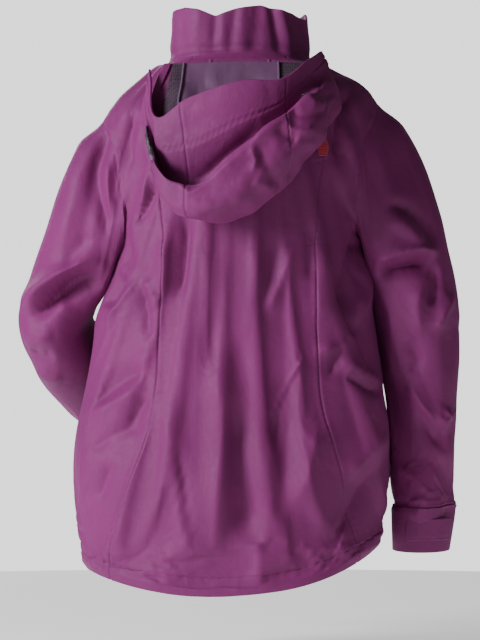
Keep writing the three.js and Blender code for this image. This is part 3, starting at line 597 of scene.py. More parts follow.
# %% Cloth simulation
def settle(points, pins, frames, growth, cap, name):
    mesh = bpy.data.meshes.new(name)
    mesh.from_pydata((points * MM).tolist(), [], faces.tolist())
    obj = bpy.data.objects.new(name, mesh)
    bpy.context.scene.collection.objects.link(obj)
    group = obj.vertex_groups.new(name="pin")
    for level in np.unique(np.round(pins, 2)):
        members = np.flatnonzero(np.round(pins, 2) == level)
        if level > 0:
            group.add(members.tolist(), float(level), "REPLACE")
    cloth_mod = obj.modifiers.new("settle", "CLOTH")
    s = cloth_mod.settings
    s.quality, s.mass, s.air_damping = 6, 0.25, 2.0
    s.tension_stiffness = s.compression_stiffness = 30
    s.shear_stiffness, s.bending_stiffness = 12, 1.2
    s.tension_damping = s.compression_damping = s.shear_damping = 12
    s.bending_damping = 1.5
    s.vertex_group_mass, s.pin_stiffness = "pin", 1.0
    s.shrink_min = s.shrink_max = -growth
    s.use_pressure, s.uniform_pressure_force = True, 0.35
    cloth_mod.collision_settings.use_self_collision = False
    cloth_mod.point_cache.frame_start, cloth_mod.point_cache.frame_end = 1, frames
    scene = bpy.context.scene
    for number in range(1, frames + 1):
        scene.frame_set(number)
    graph = bpy.context.evaluated_depsgraph_get()
    shown = obj.evaluated_get(graph).data
    moved = np.zeros(len(shown.vertices) * 3, np.float32)
    shown.vertices.foreach_get("co", moved)
    moved = moved.reshape(-1, 3).astype(float) / MM
    bpy.data.objects.remove(obj, do_unlink=True)
    bpy.data.meshes.remove(mesh)
    scene.frame_set(1)
    shift = moved - points
    sag = relax(shift, np.ones(len(points)), 60, 0.8)
    shift = shift - sag * 0.85
    size = np.linalg.norm(shift, axis=1, keepdims=True)
    held = ((1 - pins) * np.where(zone == ZONES["body"], 0.6, 0.5))[:, None]
    return points + shift * held * cap * np.tanh(size / cap) / np.maximum(size, 1e-6)


pins = np.zeros(len(cloth))
pins[edge_ids] = 1
pins = np.maximum(pins, 0.25 * (1 - smooth(near_armhole, 0, 14)))
for name in ("sleeve_left", "sleeve_right"):
    pins[ids[name][-10:]] = 1
settled = settle(cloth, pins, 22, 0.022, 9.0, "settling_net")
print("cloth moved", round(float(np.linalg.norm(settled - cloth, axis=1).mean()), 2), "mm on average")
cloth = settled

# %% [markdown]
# ## From net to sewn panels
# The net is refined to about 3 mm with the same smooth curve, and extra lines of points are put
# close beside each seam, so that the seam can be a real groove between two raised, topstitched
# edges. Then each panel becomes its own mesh, with shared normals so that light runs across seams.

# %% Finer grids
def finer(grid, rows, columns, ring=False):
    """Reads a grid of points at fractional rows and columns."""
    if ring:
        grid = np.concatenate([grid[:, -2:], grid, grid[:, :3]], 1)
        columns = columns + 2
    down = through(grid, rows)
    return through(down.transpose(1, 0, 2), columns).transpose(1, 0, 2)


def with_lines(count, seams, near=(0.12, 0.28)):
    """Half steps from 0 to count, with extra ones beside each seam."""
    extra = [s + sign * d for s in seams for d in near for sign in (-1, 1)]
    places = np.concatenate([np.arange(0, count + 0.01, 0.5), extra])
    return np.unique(np.round(places[(places >= 0) & (places <= count)], 4))


def grid_normals(grid, ring=False):
    if ring:
        wide = np.concatenate([grid[:, -1:], grid, grid[:, :1]], 1)
        across = wide[:, 2:] - wide[:, :-2]
    else:
        across = np.gradient(grid, axis=1)
    return unit(np.cross(across, np.gradient(grid, axis=0)) + 1e-12)


SEAMS = (BACK_COLUMNS[0], BACK_COLUMNS[0] + BACK_COLUMNS[1])
body_rows = with_lines(ROW_HEM, (ROW_YOKE, ROW_HEM - 4))
back_columns = with_lines(sum(BACK_COLUMNS), (*SEAMS, 0, sum(BACK_COLUMNS)))
front_columns = with_lines(FRONT_COLUMNS, (0,))
sleeve_rows = with_lines(sum(SLEEVE_ROWS), (0, sum(SLEEVE_ROWS) - 10))
sleeve_columns = np.arange(0, 2 * ARMHOLE_ROWS, 0.5)
fine = {
    "back": finer(cloth[ids["back"]], body_rows, back_columns),
    "front_left": finer(cloth[ids["front_left"]], body_rows, front_columns),
    "front_right": finer(cloth[ids["front_right"]], body_rows, front_columns),
    "sleeve_left": finer(cloth[ids["sleeve_left"]], sleeve_rows, sleeve_columns, True),
    "sleeve_right": finer(cloth[ids["sleeve_right"]], sleeve_rows, sleeve_columns, True),
}
print({name: grid.shape[:2] for name, grid in fine.items()})

# %% [markdown]
# ## Materials
# The shell is nylon woven from fine yarn and laminated to a membrane. It looks satin: a broad soft
# highlight, a faint sheen at grazing angles, a weave too fine to see and the small creases that
# a stiff laminate keeps. The weave is drawn at about 1.6 mm, several times coarser than the real
# yarn, so that it shows at all. Every other finish below gets the same care at its own scale.

# %% Colour and node helpers
def linear(hex_colour):
    """sRGB hex to the linear colour that shaders use."""
    parts = [int(hex_colour[i:i + 2], 16) / 255 for i in (1, 3, 5)]
    return [v / 12.92 if v <= 0.04045 else ((v + 0.055) / 1.055) ** 2.4 for v in parts] + [1]


def add_node(tree, kind, inputs=None, **settings):
    """Adds a shader node; inputs are values or (node, output) links."""
    node = tree.nodes.new(kind)
    for key, value in settings.items():
        setattr(node, key, value)
    for key, value in (inputs or {}).items():
        if isinstance(value, tuple) and isinstance(value[0], bpy.types.Node):
            tree.links.new(value[0].outputs[value[1]], node.inputs[key])
        else:
            node.inputs[key].default_value = value
    return node


def start_material(name):
    material = bpy.data.materials.new(name)
    material.use_nodes = True
    material.node_tree.nodes.clear()
    tree = material.node_tree
    place = add_node(tree, "ShaderNodeTexCoord")
    return material, tree, place


def finish_material(tree, colour, bump, roughness, **sockets):
    shader = add_node(tree, "ShaderNodeBsdfPrincipled", {"Base Color": colour, "Normal": bump,
                                                          "Roughness": roughness})
    for key, value in sockets.items():
        shader.inputs[key.replace("_", " ")].default_value = value
    add_node(tree, "ShaderNodeOutputMaterial", {"Surface": (shader, 0)})


# %% Woven nylon laminate, the shell
BAND_SCALE = 0.31  # divided by a pitch in metres, it gives a wave texture that pitch


def woven_nylon(name, base, worn, crease_depth=0.5, sheen=0.16, weave_mm=1.6, rough=(0.6, 0.74)):
    material, tree, place = start_material(name)
    crinkle = add_node(tree, "ShaderNodeTexNoise", {"Vector": (place, "Object"), "Scale": 1 / (26 * MM),
                       "Detail": 5, "Roughness": 0.55, "Distortion": 0.8})
    small = add_node(tree, "ShaderNodeTexNoise", {"Vector": (place, "Object"), "Scale": 1 / (7 * MM),
                     "Detail": 3, "Roughness": 0.6})
    per_thread = BAND_SCALE / (weave_mm * MM)
    weave = add_node(tree, "ShaderNodeTexWave", {"Vector": (place, "Object"), "Scale": per_thread,
                     "Distortion": 0.6}, bands_direction="Z")
    weft = add_node(tree, "ShaderNodeTexWave", {"Vector": (place, "Object"), "Scale": per_thread,
                    "Distortion": 0.6}, bands_direction="X")
    threads = add_node(tree, "ShaderNodeMath", {0: (weave, "Fac"), 1: (weft, "Fac")}, operation="ADD")
    patch = add_node(tree, "ShaderNodeTexNoise", {"Vector": (place, "Object"), "Scale": 1 / (120 * MM),
                     "Detail": 3})
    tone = add_node(tree, "ShaderNodeMapRange", {"Value": (patch, "Fac"), "From Min": 0.3, "From Max": 0.7})
    colour = add_node(tree, "ShaderNodeMix", {"Factor": (tone, 0), 6: linear(base), 7: linear(worn)},
                      data_type="RGBA")
    # slight painted shade between the weave's threads and a slight painted highlight on them
    thread_gap_shade = add_node(tree, "ShaderNodeMapRange", {"Value": (threads, 0), "From Max": 2, "To Min": 0.93,
                     "To Max": 1.05})
    shade = add_node(tree, "ShaderNodeVectorMath", {0: (colour, 2), 1: (thread_gap_shade, 0)}, operation="MULTIPLY")
    bump1 = add_node(tree, "ShaderNodeBump", {"Height": (crinkle, "Fac"), "Distance": 2.4 * MM,
                     "Strength": crease_depth})
    bump2 = add_node(tree, "ShaderNodeBump", {"Height": (small, "Fac"), "Distance": 0.3 * MM,
                     "Strength": 0.35, "Normal": (bump1, 0)})
    bump3 = add_node(tree, "ShaderNodeBump", {"Height": (threads, 0), "Distance": 0.06 * MM,
                     "Strength": 0.5, "Normal": (bump2, 0)})
    roughness = add_node(tree, "ShaderNodeMapRange", {"Value": (small, "Fac"), "From Min": 0.25,
                         "From Max": 0.75, "To Min": rough[0], "To Max": rough[1]})
    finish_material(tree, (shade, 0), (bump3, 0), (roughness, 0), IOR=1.42, Sheen_Weight=sheen,
                    Sheen_Roughness=0.5, Sheen_Tint=linear("#B06CA4"))
    return material


shell_nylon = woven_nylon("woven nylon laminate, plum", "#7E2464", "#721F5B")
lining_taffeta = woven_nylon("calendered nylon taffeta lining, mauve", "#6E4768", "#65405F", 0.5, 0.2, 1.2,
                             (0.45, 0.58))

# %% Knitted mesh, tape, hooks and thread
def knitted(name, base, dark, cell_mm, depth, rough=0.85):
    """Open knit or loop pile: a cell pattern with painted shade, dark in the openings between its yarns."""
    material, tree, place = start_material(name)
    cells = add_node(tree, "ShaderNodeTexVoronoi", {"Vector": (place, "Object"),
                     "Scale": 1 / (cell_mm * MM), "Randomness": 0.35})
    hole = add_node(tree, "ShaderNodeMapRange", {"Value": (cells, "Distance"), "From Min": 0.2,
                    "From Max": 0.62})
    # painted shade: the openings between the yarns get the dark colour, the yarns get the base colour
    colour = add_node(tree, "ShaderNodeMix", {"Factor": (hole, 0), 6: linear(dark), 7: linear(base)},
                      data_type="RGBA")
    bump = add_node(tree, "ShaderNodeBump", {"Height": (hole, 0), "Distance": depth * MM, "Strength": 0.8})
    fuzz = add_node(tree, "ShaderNodeTexNoise", {"Vector": (place, "Object"), "Scale": 1 / (1.1 * MM)})
    roughness = add_node(tree, "ShaderNodeMapRange", {"Value": (fuzz, "Fac"), "To Min": rough - 0.1,
                         "To Max": rough + 0.08})
    finish_material(tree, (colour, 2), (bump, 0), (roughness, 0), Sheen_Weight=0.2)
    return material


def corded(name, base, dark, pitch_mm, rough=0.6, direction="Z", sheen=0.15):
    """Ribbed tape, satin stitch or twisted thread: parallel ridges with some unevenness, darker in the
    grooves between them as painted shade.
    """
    material, tree, place = start_material(name)
    ribs = add_node(tree, "ShaderNodeTexWave", {"Vector": (place, "Object"),
                    "Scale": BAND_SCALE / (pitch_mm * MM), "Distortion": 1.2, "Detail": 2},
                    bands_direction=direction)
    uneven = add_node(tree, "ShaderNodeTexNoise", {"Vector": (place, "Object"), "Scale": 1 / (6 * MM)})
    # the dark colour is partly painted shade in the grooves between the ribs and partly random unevenness of
    # the yarn
    groove_shade_and_unevenness = add_node(tree, "ShaderNodeMath", {0: (ribs, "Fac"), 1: (uneven, "Fac")}, operation="MULTIPLY")
    colour = add_node(tree, "ShaderNodeMix", {"Factor": (groove_shade_and_unevenness, 0), 6: linear(dark), 7: linear(base)},
                      data_type="RGBA")
    bump = add_node(tree, "ShaderNodeBump", {"Height": (ribs, "Fac"), "Distance": 0.25 * MM,
                    "Strength": 0.8})
    roughness = add_node(tree, "ShaderNodeMapRange", {"Value": (uneven, "Fac"), "To Min": rough - 0.08,
                         "To Max": rough + 0.1})
    finish_material(tree, (colour, 2), (bump, 0), (roughness, 0), Sheen_Weight=sheen)
    return material


# the second colour of each knit is painted shade in the openings between its yarns
mesh_knit = knitted("open knitted polyester mesh, dark plum", "#46293F", "#1B0D17", 2.4, 0.5)
hook_pile = knitted("moulded nylon hook and loop tape", "#4A2F45", "#1F111D", 1.5, 0.6, 0.9)
# the second colour of each corded finish is painted shade in its grooves, mixed with random unevenness
seam_thread = corded("spun polyester thread, plum", "#8A4480", "#5C2450", 0.9, 0.55)
zip_tape = corded("woven polyester zip tape, aubergine", "#4A2543", "#2C1428", 1.1, 0.75)
red_thread = corded("rayon embroidery thread, red", "#D6053C", "#9C0428", 0.8, 0.4, "X", 0.35)
binding = corded("knitted polyester binding, mauve", "#86607F", "#5A3A55", 1.0, 0.7)

# %% Moulded plastic and painted metal
def solid_finish(name, base, mark, metallic, rough, grain_mm, depth):
    """Moulded or cast pieces: fine grain, slight wear in the tone and the gloss."""
    material, tree, place = start_material(name)
    grain = add_node(tree, "ShaderNodeTexNoise", {"Vector": (place, "Object"), "Scale": 1 / (grain_mm * MM),
                     "Detail": 4})
    wear = add_node(tree, "ShaderNodeTexNoise", {"Vector": (place, "Object"), "Scale": 1 / (9 * MM)})
    colour = add_node(tree, "ShaderNodeMix", {"Factor": (wear, "Fac"), 6: linear(base), 7: linear(mark)},
                      data_type="RGBA")
    bump = add_node(tree, "ShaderNodeBump", {"Height": (grain, "Fac"), "Distance": depth * MM,
                    "Strength": 0.6})
    roughness = add_node(tree, "ShaderNodeMapRange", {"Value": (wear, "Fac"), "To Min": rough - 0.08,
                         "To Max": rough + 0.12})
    finish_material(tree, (colour, 2), (bump, 0), (roughness, 0), Metallic=metallic)
    return material


tooth_plastic = solid_finish("moulded acetal zip teeth", "#3A1E35", "#2C1528", 0, 0.38, 0.5, 0.05)
slider_metal = solid_finish("die-cast zinc slider, painted", "#8D8790", "#6F6973", 0.9, 0.34, 0.4, 0.04)
pull_rubber = solid_finish("moulded soft rubber pull", "#3C2038", "#2E182B", 0, 0.6, 0.6, 0.08)
print(len(bpy.data.materials), "materials")

# %% [markdown]
# ## Making a piece
# Each sewn piece becomes a mesh of its own that keeps the shared normals of the whole jacket. One
# function makes the mesh, one rolls a free edge over (as a hem is turned), and one lays stitches.

# %% Piece tools
pieces = {}


def piece(name, points, quads, material, normals=None, slots=None, nodes=(), slot=None):
    """A mesh object from points in millimetres."""
    mesh = bpy.data.meshes.new(name)
    loops = quads.tolist() if isinstance(quads, np.ndarray) else quads
    mesh.from_pydata((np.asarray(points) * MM).tolist(), [], loops)
    for entry in (material if isinstance(material, (list, tuple)) else [material]):
        mesh.materials.append(entry)
    if slots is not None:
        mesh.polygons.foreach_set("material_index", np.asarray(slots, np.int32))
    mesh.polygons.foreach_set("use_smooth", np.ones(len(mesh.polygons), bool))
    if normals is not None:
        mesh.normals_split_custom_set_from_vertices(np.asarray(normals).tolist())
    obj = bpy.data.objects.new(name, mesh)
    bpy.context.scene.collection.objects.link(obj)
    if nodes:
        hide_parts(*nodes)
    pieces[name] = obj
    return obj


def grid_piece(name, grid, material, normals=None, flip=False, ring=False, **rest):
    number = np.arange(grid.shape[0] * grid.shape[1]).reshape(grid.shape[:2])
    quads = squares(number, ring)
    if flip:
        quads = quads[:, ::-1]
    flat = None if normals is None else normals.reshape(-1, 3)
    return piece(name, grid.reshape(-1, 3), quads, material, flat, **rest)


def rolled(edge, away, normal, radius=1.1, inside=10, steps=4, rows=3):
    """Points that roll an edge over to the inside: away is the direction off the edge."""
    out = []
    for k in range(1, steps + 1):
        a = math.pi * k / steps
        out.append(edge + away * radius * math.sin(a) - normal * radius * (1 - math.cos(a)))
    for k in range(1, rows + 1):
        out.append(edge - normal * 2 * radius - away * inside * k / rows)
    return np.array(out)


def grid_area(grid):
    a, b = grid[1:, :-1] - grid[:-1, :-1], grid[:-1, 1:] - grid[:-1, :-1]
    c, d = grid[:-1, 1:] - grid[1:, 1:], grid[1:, :-1] - grid[1:, 1:]
    cross = np.linalg.norm(np.cross(a, b), axis=2) + np.linalg.norm(np.cross(c, d), axis=2)
    return float(cross.sum() / 2) * MM * MM


def turned_in(grid, lines, count, radius=1.1, steps=5):
    """The last row of a grid rolled over to the inside, then count rows that follow it back."""
    edge, away = grid[-1], unit(grid[-1] - grid[-2])
    turn = np.linspace(0, math.pi, steps + 1)
    roll = [edge + away * radius * math.sin(a) - lines[-1] * radius * (1 - math.cos(a)) for a in turn]
    back = [grid[-1 - k] - lines[-1 - k] * 2 * radius for k in range(1, count + 1)]
    return np.array(roll + back)


def cut_size(grid, ring=False):
    """Width, length and area of the flat cut that a grid was made from, in metres."""
    if ring:
        grid = np.concatenate([grid, grid[:, :1]], 1)
    width = np.linalg.norm(np.diff(grid, axis=1), axis=2).sum(1).max() * MM
    length = np.linalg.norm(np.diff(grid, axis=0), axis=2).sum(0).max() * MM
    area = grid_area(grid)
    return (round(float(width), 3), round(float(length), 3)), min(area, 0.999 * width * length)


cuts = {}


def declare_sheet(obj, grid, ring=False):
    flat, area = cut_size(grid, ring)
    area = max(area, 0.31 * flat[0] * flat[1])
    cuts[obj.name] = (flat, round(area, 4))


def stitches(name, runs, material, length=2.6, space=1.1, thick=0.26, lift=0.12):
    """Topstitching: short raised threads along each run = (points, normals) in millimetres."""
    points, quads = [], []
    for line, normal in runs:
        line, normal = np.asarray(line, float), np.asarray(normal, float)
        step = np.linalg.norm(np.diff(line, axis=0), axis=1)
        along = np.concatenate([[0], np.cumsum(step)])
        starts = np.arange(0.5, along[-1] - length, length + space)
        for start in starts:
            at = start + np.array([0, 0.5, 1]) * length
            p = np.stack([np.interp(at, along, line[:, k]) for k in range(3)], 1)
            n = unit(np.stack([np.interp(at[1], along, normal[:, k]) for k in range(3)]))
            run = unit(p[2] - p[0] + 1e-9)
            side = np.cross(run, n)
            for q, high, wide in zip(p, (-0.25, lift, -0.25), (0.5, 1, 0.5)):
                base = len(points)
                centre = q + n * high
                points += [centre + side * thick * wide, centre + n * thick * wide,
                           centre - side * thick * wide]
                if high != -0.25 or q is p[2]:
                    for a, b in ((0, 1), (1, 2)):
                        quads.append((base - 3 + a, base + a, base + b, base - 3 + b))
    return piece(name, points, quads, material)


print("piece tools ready")

# %% [markdown]
# ## Seams
# Seams on a shell are felled: the cloth is folded under, stitched down 2 mm from the edge and taped
# inside. From outside that is a groove, a slightly raised edge beside it and puckers along it where
# the thread has drawn the cloth in.

# %% Work the seams into the grids
def seam_relief(distance, along, depth=1.0, pucker=0.55, period=8.5):
    """Height of a topstitched seam at a distance from it in mm, puckered along its length."""
    groove = -depth * np.exp(-(distance / 1.3) ** 2)
    edge = 0.45 * depth * np.exp(-((distance - 3.4) / 2.6) ** 2)
    wave = np.sin(along * 2 * math.pi / period + 2.1 * np.sin(along / 23.0))
    return groove + edge + pucker * wave * np.exp(-distance / 7)


def column_distance(grid, index):
    """Signed distance of every point from one column of its grid, measured along each row."""
    step = np.linalg.norm(np.diff(grid, axis=1), axis=2)
    along = np.concatenate([np.zeros((grid.shape[0], 1)), np.cumsum(step, 1)], 1)
    return along - along[:, index:index + 1]


def row_distance(grid, index):
    return column_distance(grid.transpose(1, 0, 2), index).T


def length_down(grid):
    step = np.linalg.norm(np.diff(grid[:, grid.shape[1] // 2], axis=0), axis=1)
    return np.concatenate([[0], np.cumsum(step)])[:, None]


shade_normals = {
    "back": grid_normals(fine["back"]), "front_left": grid_normals(fine["front_left"]),
    "front_right": -grid_normals(fine["front_right"]),
    "sleeve_left": grid_normals(fine["sleeve_left"], True),
    "sleeve_right": -grid_normals(fine["sleeve_right"], True),
}
middle = fine["back"].shape[1] // 2
sign = np.sign(shade_normals["back"][120, middle, 1])
for name in shade_normals:
    shade_normals[name] = shade_normals[name] * sign
print("back faces +y:", sign)
seam_at = [int(np.argmin(np.abs(back_columns - s))) for s in SEAMS]
hem_at = int(np.argmin(np.abs(body_rows - (ROW_HEM - 4))))
yoke_at = int(np.argmin(np.abs(body_rows - ROW_YOKE)))
tip_at = int(np.argmin(np.abs(body_rows - ROW_TIP)))
under_at = int(np.argmin(np.abs(body_rows - ROW_UNDERARM)))
for name in ("back", "front_left", "front_right"):
    grid, lines = fine[name], shade_normals[name]
    relief = np.zeros(grid.shape[:2])
    down = length_down(grid)
    if name == "back":
        for at in seam_at:
            relief += seam_relief(np.abs(column_distance(grid, at)), down)
    hem_gap = np.abs(row_distance(grid, hem_at))
    across = column_distance(grid, 0)
    relief += seam_relief(hem_gap, np.abs(across), 0.7, 0.8, 13) * (hem_gap < 40)
    if name != "back":
        relief += seam_relief(np.abs(row_distance(grid, yoke_at)), np.abs(across), 0.9, 0.4)
    fine[name] = grid + lines * relief[..., None]


def share_edges(a, a_pick, b, b_pick):
    """Both grids get the mean of their two copies of one seam line."""
    middle_line = (fine[a][a_pick] + fine[b][b_pick]) / 2
    fine[a][a_pick] = middle_line
    fine[b][b_pick] = middle_line


def sleeve_ring(name, front):
    """The armhole's fine points in the sleeve's column order."""
    column = -1 if name == "sleeve_left" else 0
    back_side = fine["back"][:, column][(body_rows >= ROW_TIP) & (body_rows <= ROW_UNDERARM)
                                        & (np.abs(body_rows * 2 % 1) < 1e-6)]
    front_side = fine[front][:, 0][(body_rows >= ROW_TIP) & (body_rows <= ROW_UNDERARM)
                                   & (np.abs(body_rows * 2 % 1) < 1e-6)]
    return np.concatenate([back_side, front_side[-2:0:-1]])


for rows_range in (slice(0, tip_at + 1), slice(under_at, None)):
    share_edges("back", (rows_range, -1), "front_left", (rows_range, 0))
    share_edges("back", (rows_range, 0), "front_right", (rows_range, 0))
for name, front in (("sleeve_left", "front_left"), ("sleeve_right", "front_right")):
    ring_line = sleeve_ring(name, front)
    pull = ring_line - fine[name][0]
    fade = np.exp(-np.abs(row_distance(np.concatenate([fine[name]], 1), 0)) / 12)
    fine[name] = fine[name] + pull[None] * fade[..., None]
cuff_at = int(np.argmin(np.abs(sleeve_rows - (sum(SLEEVE_ROWS) - 10))))
cuff_stitch = cuff_at + 13
for name in ("sleeve_left", "sleeve_right"):
    grid, lines = fine[name], shade_normals[name]
    round_it = column_distance(grid, 0)
    relief = seam_relief(np.abs(row_distance(grid, cuff_at)), round_it, 0.6, 0.3)
    from_armhole = np.abs(row_distance(grid, 0))
    relief += 0.8 * np.exp(-((from_armhole - 3.5) / 3) ** 2)
    relief += 0.6 * np.sin(round_it / 2.1) * np.exp(-from_armhole / 8) * smooth(from_armhole, 0, 3)
    fine[name] = grid + lines * relief[..., None]
for name in ("back", "front_left", "front_right"):
    base = grid_normals(fine[name]) * sign * (-1 if name == "front_right" else 1)
    shade_normals[name] = base
for name in ("sleeve_left", "sleeve_right"):
    shade_normals[name] = grid_normals(fine[name], True) * sign * (-1 if name == "sleeve_right" else 1)
for a, b, column in (("back", "front_left", -1), ("back", "front_right", 0)):
    for rows_range in (slice(0, tip_at + 1), slice(under_at, None)):
        mean = unit(shade_normals[a][rows_range, column] + shade_normals[b][rows_range, 0])
        shade_normals[a][rows_range, column] = mean
        shade_normals[b][rows_range, 0] = mean
print("seams worked:", len(seam_at), "long back seams, hem, yokes, armholes, cuffs")

# %% Cut the body into its panels
def body_piece(name, source, columns, rows_range, nodes):
    grid = fine[source][rows_range, columns]
    lines = shade_normals[source][rows_range, columns]
    obj = grid_piece(name, grid, shell_nylon, lines, flip=(source == "front_right") == (sign > 0),
                     nodes=nodes, slot="shell_cloth")
    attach(obj, "torso")
    declare_sheet(obj, grid)
    return obj


everything = slice(None)
body_piece("back_center_panel_cloth", "back", slice(seam_at[0], seam_at[1] + 1), everything,
           ["back_center_panel"])
body_piece("back_left_panel_cloth", "back", slice(seam_at[1], None), everything, ["back_left_panel"])
body_piece("back_right_panel_cloth", "back", slice(0, seam_at[0] + 1), everything, ["back_right_panel"])
for side in ("left", "right"):
    source = f"front_{side}"
    body_piece(f"front_{side}_yoke_cloth", source, everything, slice(0, yoke_at + 1),
               [f"front_{side}_yoke"])
    body_piece(f"front_{side}_panel_cloth", source, everything, slice(yoke_at, None),
               [f"front_{side}_panel"])
print({name: size for name, size in cuts.items()})

# %% Hem facing, front facings
ring_grid = np.concatenate([fine["front_right"][:, ::-1], fine["back"][:, 1:], fine["front_left"][:, 1:]], 1)
ring_lines = np.concatenate([shade_normals["front_right"][:, ::-1], shade_normals["back"][:, 1:],
                             shade_normals["front_left"][:, 1:]], 1)
facing_grid = turned_in(ring_grid, ring_lines, len(ring_grid) - 1 - hem_at)
facing = grid_piece("hem_facing_cloth", facing_grid, shell_nylon, flip=sign > 0, nodes=["hem_facing"],
                    slot="lining_cloth")
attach(facing, "torso")
declare_sheet(facing, facing_grid)
for side in ("left", "right"):
    grid, lines = fine[f"front_{side}"], shade_normals[f"front_{side}"]
    turned_edge = turned_in(grid.transpose(1, 0, 2), lines.transpose(1, 0, 2), 9, 1.0).transpose(1, 0, 2)
    flip = (side == "right") == (sign > 0)
    facing = grid_piece(f"front_{side}_facing", turned_edge, shell_nylon, flip=flip, slot="shell_cloth")
    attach(facing, "torso")
    declare_sheet(facing, turned_edge)
print("hem facing:", facing_grid.shape[:2])

# %% [markdown]
# ## Sleeves, cuffs and tabs
# Each sleeve is made in three sheets: from the armhole to a hand's width above the elbow, from there
# over the elbow to the cuff, and the cuff. Only the cuff rides on a body, the forearm.

# %% Sleeves in three pieces
SPLIT = {"left": 66, "right": 76}
for side, arm in (("left", LEFT), ("right", RIGHT)):
    grid, lines = fine[f"sleeve_{side}"], shade_normals[f"sleeve_{side}"]
    flip = (side == "right") == (sign > 0)
    cut = SPLIT[side]
    top, low, cuff = grid[:cut + 1], grid[cut:cuff_at + 1], grid[cuff_at:]
    upper = grid_piece(f"{side}_sleeve_upper_cloth", top, shell_nylon, lines[:cut + 1], flip, True,
                       nodes=[f"{side}_sleeve_cap", f"{side}_upper_sleeve"], slot="shell_cloth")
    lower = grid_piece(f"{side}_sleeve_lower_cloth", low, shell_nylon, lines[cut:cuff_at + 1], flip, True,
                       nodes=[f"{side}_elbow_gusset", f"{side}_lower_sleeve"], slot="shell_cloth")
    whole = np.concatenate([cuff, turned_in(grid, lines, len(grid) - cuff_at - 3)[1:]])
    cuff_piece = grid_piece(f"{side}_cuff_cloth", whole, shell_nylon, None, flip, True,
                            nodes=[f"{side}_cuff"], slot="shell_cloth")
    s = arm["side"]
    start = np.array([s * 0.167, 0, -0.250])
    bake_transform(upper)
    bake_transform(lower)
    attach(cuff_piece, f"{side}_forearm")
    declare_sheet(upper, top, True)
    declare_sheet(lower, low, True)
    declare_sheet(cuff_piece, whole, True)
    print(side, "sleeve: split at row", cut, "of", len(grid), "cuff from row", cuff_at)

# %% [markdown]
# ## Collar
# A stand collar is two layers turned over a top edge. Empty, it slumps: its top edge waves, dips left
# of the middle and rounds off at its right end, and soft upright creases run down from the dips.

# %% Collar, outside and lining
def collar_surface(angle, rise):
    s, c = np.sin(np.radians(angle)), np.cos(np.radians(angle))
    p = 2 / SQUARENESS
    foot = np.where(c > 0, 2.0, -48.0)
    head = np.where(c > 0, COLLAR_HEIGHT, COLLAR_FRONT_TOP)
    side_head = COLLAR_HEIGHT + (COLLAR_FRONT_TOP - COLLAR_HEIGHT) * 0.25
    middle, at_side = foot + (head - foot) * rise, -6 + (side_head + 6) * rise
    z = middle + (at_side - middle) * s * s
    half = NECK_HALF - 3 - 4 * rise
    reach = np.where(c > 0, NECK_BACK - 3 - 4 * rise, -zip_y(z))
    return np.stack([half * np.sign(s) * np.abs(s) ** p, reach * np.sign(c) * np.abs(c) ** p, z], -1)


collar_end = float(zip_angle(0)) - 0.5
angles = np.linspace(-collar_end, collar_end, 221)[None, :]
rise = np.linspace(1, 0, 34)[:, None]
collar_grid = collar_surface(angles + 0 * rise, rise + 0 * angles)
TOP_WAVE = ([-110, -98, -88, -72, -50, -27, 5, 33, 55, 75, 92, 110],
            [-26, -22, -12, -7, -4, 1, -4, -13, -3, 2, 1, -4])
back_half = smooth(collar_grid[..., 1], -30, 25)
drop = np.interp(collar_grid[..., 0], *TOP_WAVE) * back_half * (rise + 0 * angles) ** 1.3
drop += (1 - back_half) * 5 * np.sin(angles / 17) * rise
collar_grid[..., 2] += drop
collar_lines = grid_normals(collar_grid)
collar_lines *= np.sign((collar_lines[10, 110] @ np.array([0, 1, 0])))
COLLAR_FOLDS = [  # x, lean, height, width
    (34, -8, -4.5, 7), (24, 6, 3, 7), (-2, 4, 3.5, 9), (-22, -6, -3.5, 9), (-48, 12, -4.5, 6),
    (-62, 14, 4, 7), (-84, 10, -3, 8), (58, -4, 3, 9), (78, 3, -3, 8), (10, -10, -2.5, 6)]
flat_x, flat_rise = collar_grid[..., 0], rise + 0 * angles
push = np.zeros(flat_x.shape)
for x, lean, height, width in COLLAR_FOLDS:
    line = x + lean * (flat_rise - 0.5)
    push += height * np.exp(-((flat_x - line) / width) ** 2) * (0.35 + 0.65 * flat_rise) * back_half
push += -2.5 * np.exp(-((flat_rise - 0.16) / 0.1) ** 2) * back_half
push += ripple(collar_grid.reshape(-1, 3), 26, 5).reshape(flat_x.shape) * 1.6
push += (1 - back_half) * ripple(collar_grid.reshape(-1, 3), 44, 6, (1, 1, 0.5)).reshape(flat_x.shape) * 4
push *= smooth(np.abs(collar_end - np.abs(angles)), 0, 6) * smooth(flat_rise, 0, 0.12)
collar_grid = collar_grid + collar_lines * push[..., None]
collar_lines = grid_normals(collar_grid)
collar_lines *= np.sign((collar_lines[10, 110] @ np.array([0, 1, 0])))
top_roll = rolled(collar_grid[0], unit(collar_grid[0] - collar_grid[1]), collar_lines[0], 1.5, 3, 5, 1)
outer_grid = np.concatenate([top_roll[::-1], collar_grid])
collar_outer = grid_piece("collar_outer_cloth", outer_grid, shell_nylon, flip=sign < 0,
                          nodes=["collar_outer"], slot="shell_cloth")
lining_grid = collar_grid - collar_lines * 3.2 + np.array([0, 0, -1.2])
collar_lining = grid_piece("collar_lining_cloth", lining_grid, lining_taffeta, flip=sign > 0,
                           nodes=["collar_lining"], slot="lining_cloth")
for obj, grid in ((collar_outer, outer_grid), (collar_lining, lining_grid)):
    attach(obj, "torso")
    declare_sheet(obj, grid)
ends = []
for column, pick in ((0, 1), (-1, -2)):
    edge, away = collar_grid[:, column], unit(collar_grid[:, column] - collar_grid[:, pick])
    ends.append(np.concatenate([edge[None], rolled(edge, away, collar_lines[:, column], 1.5, 5, 5, 2)]))
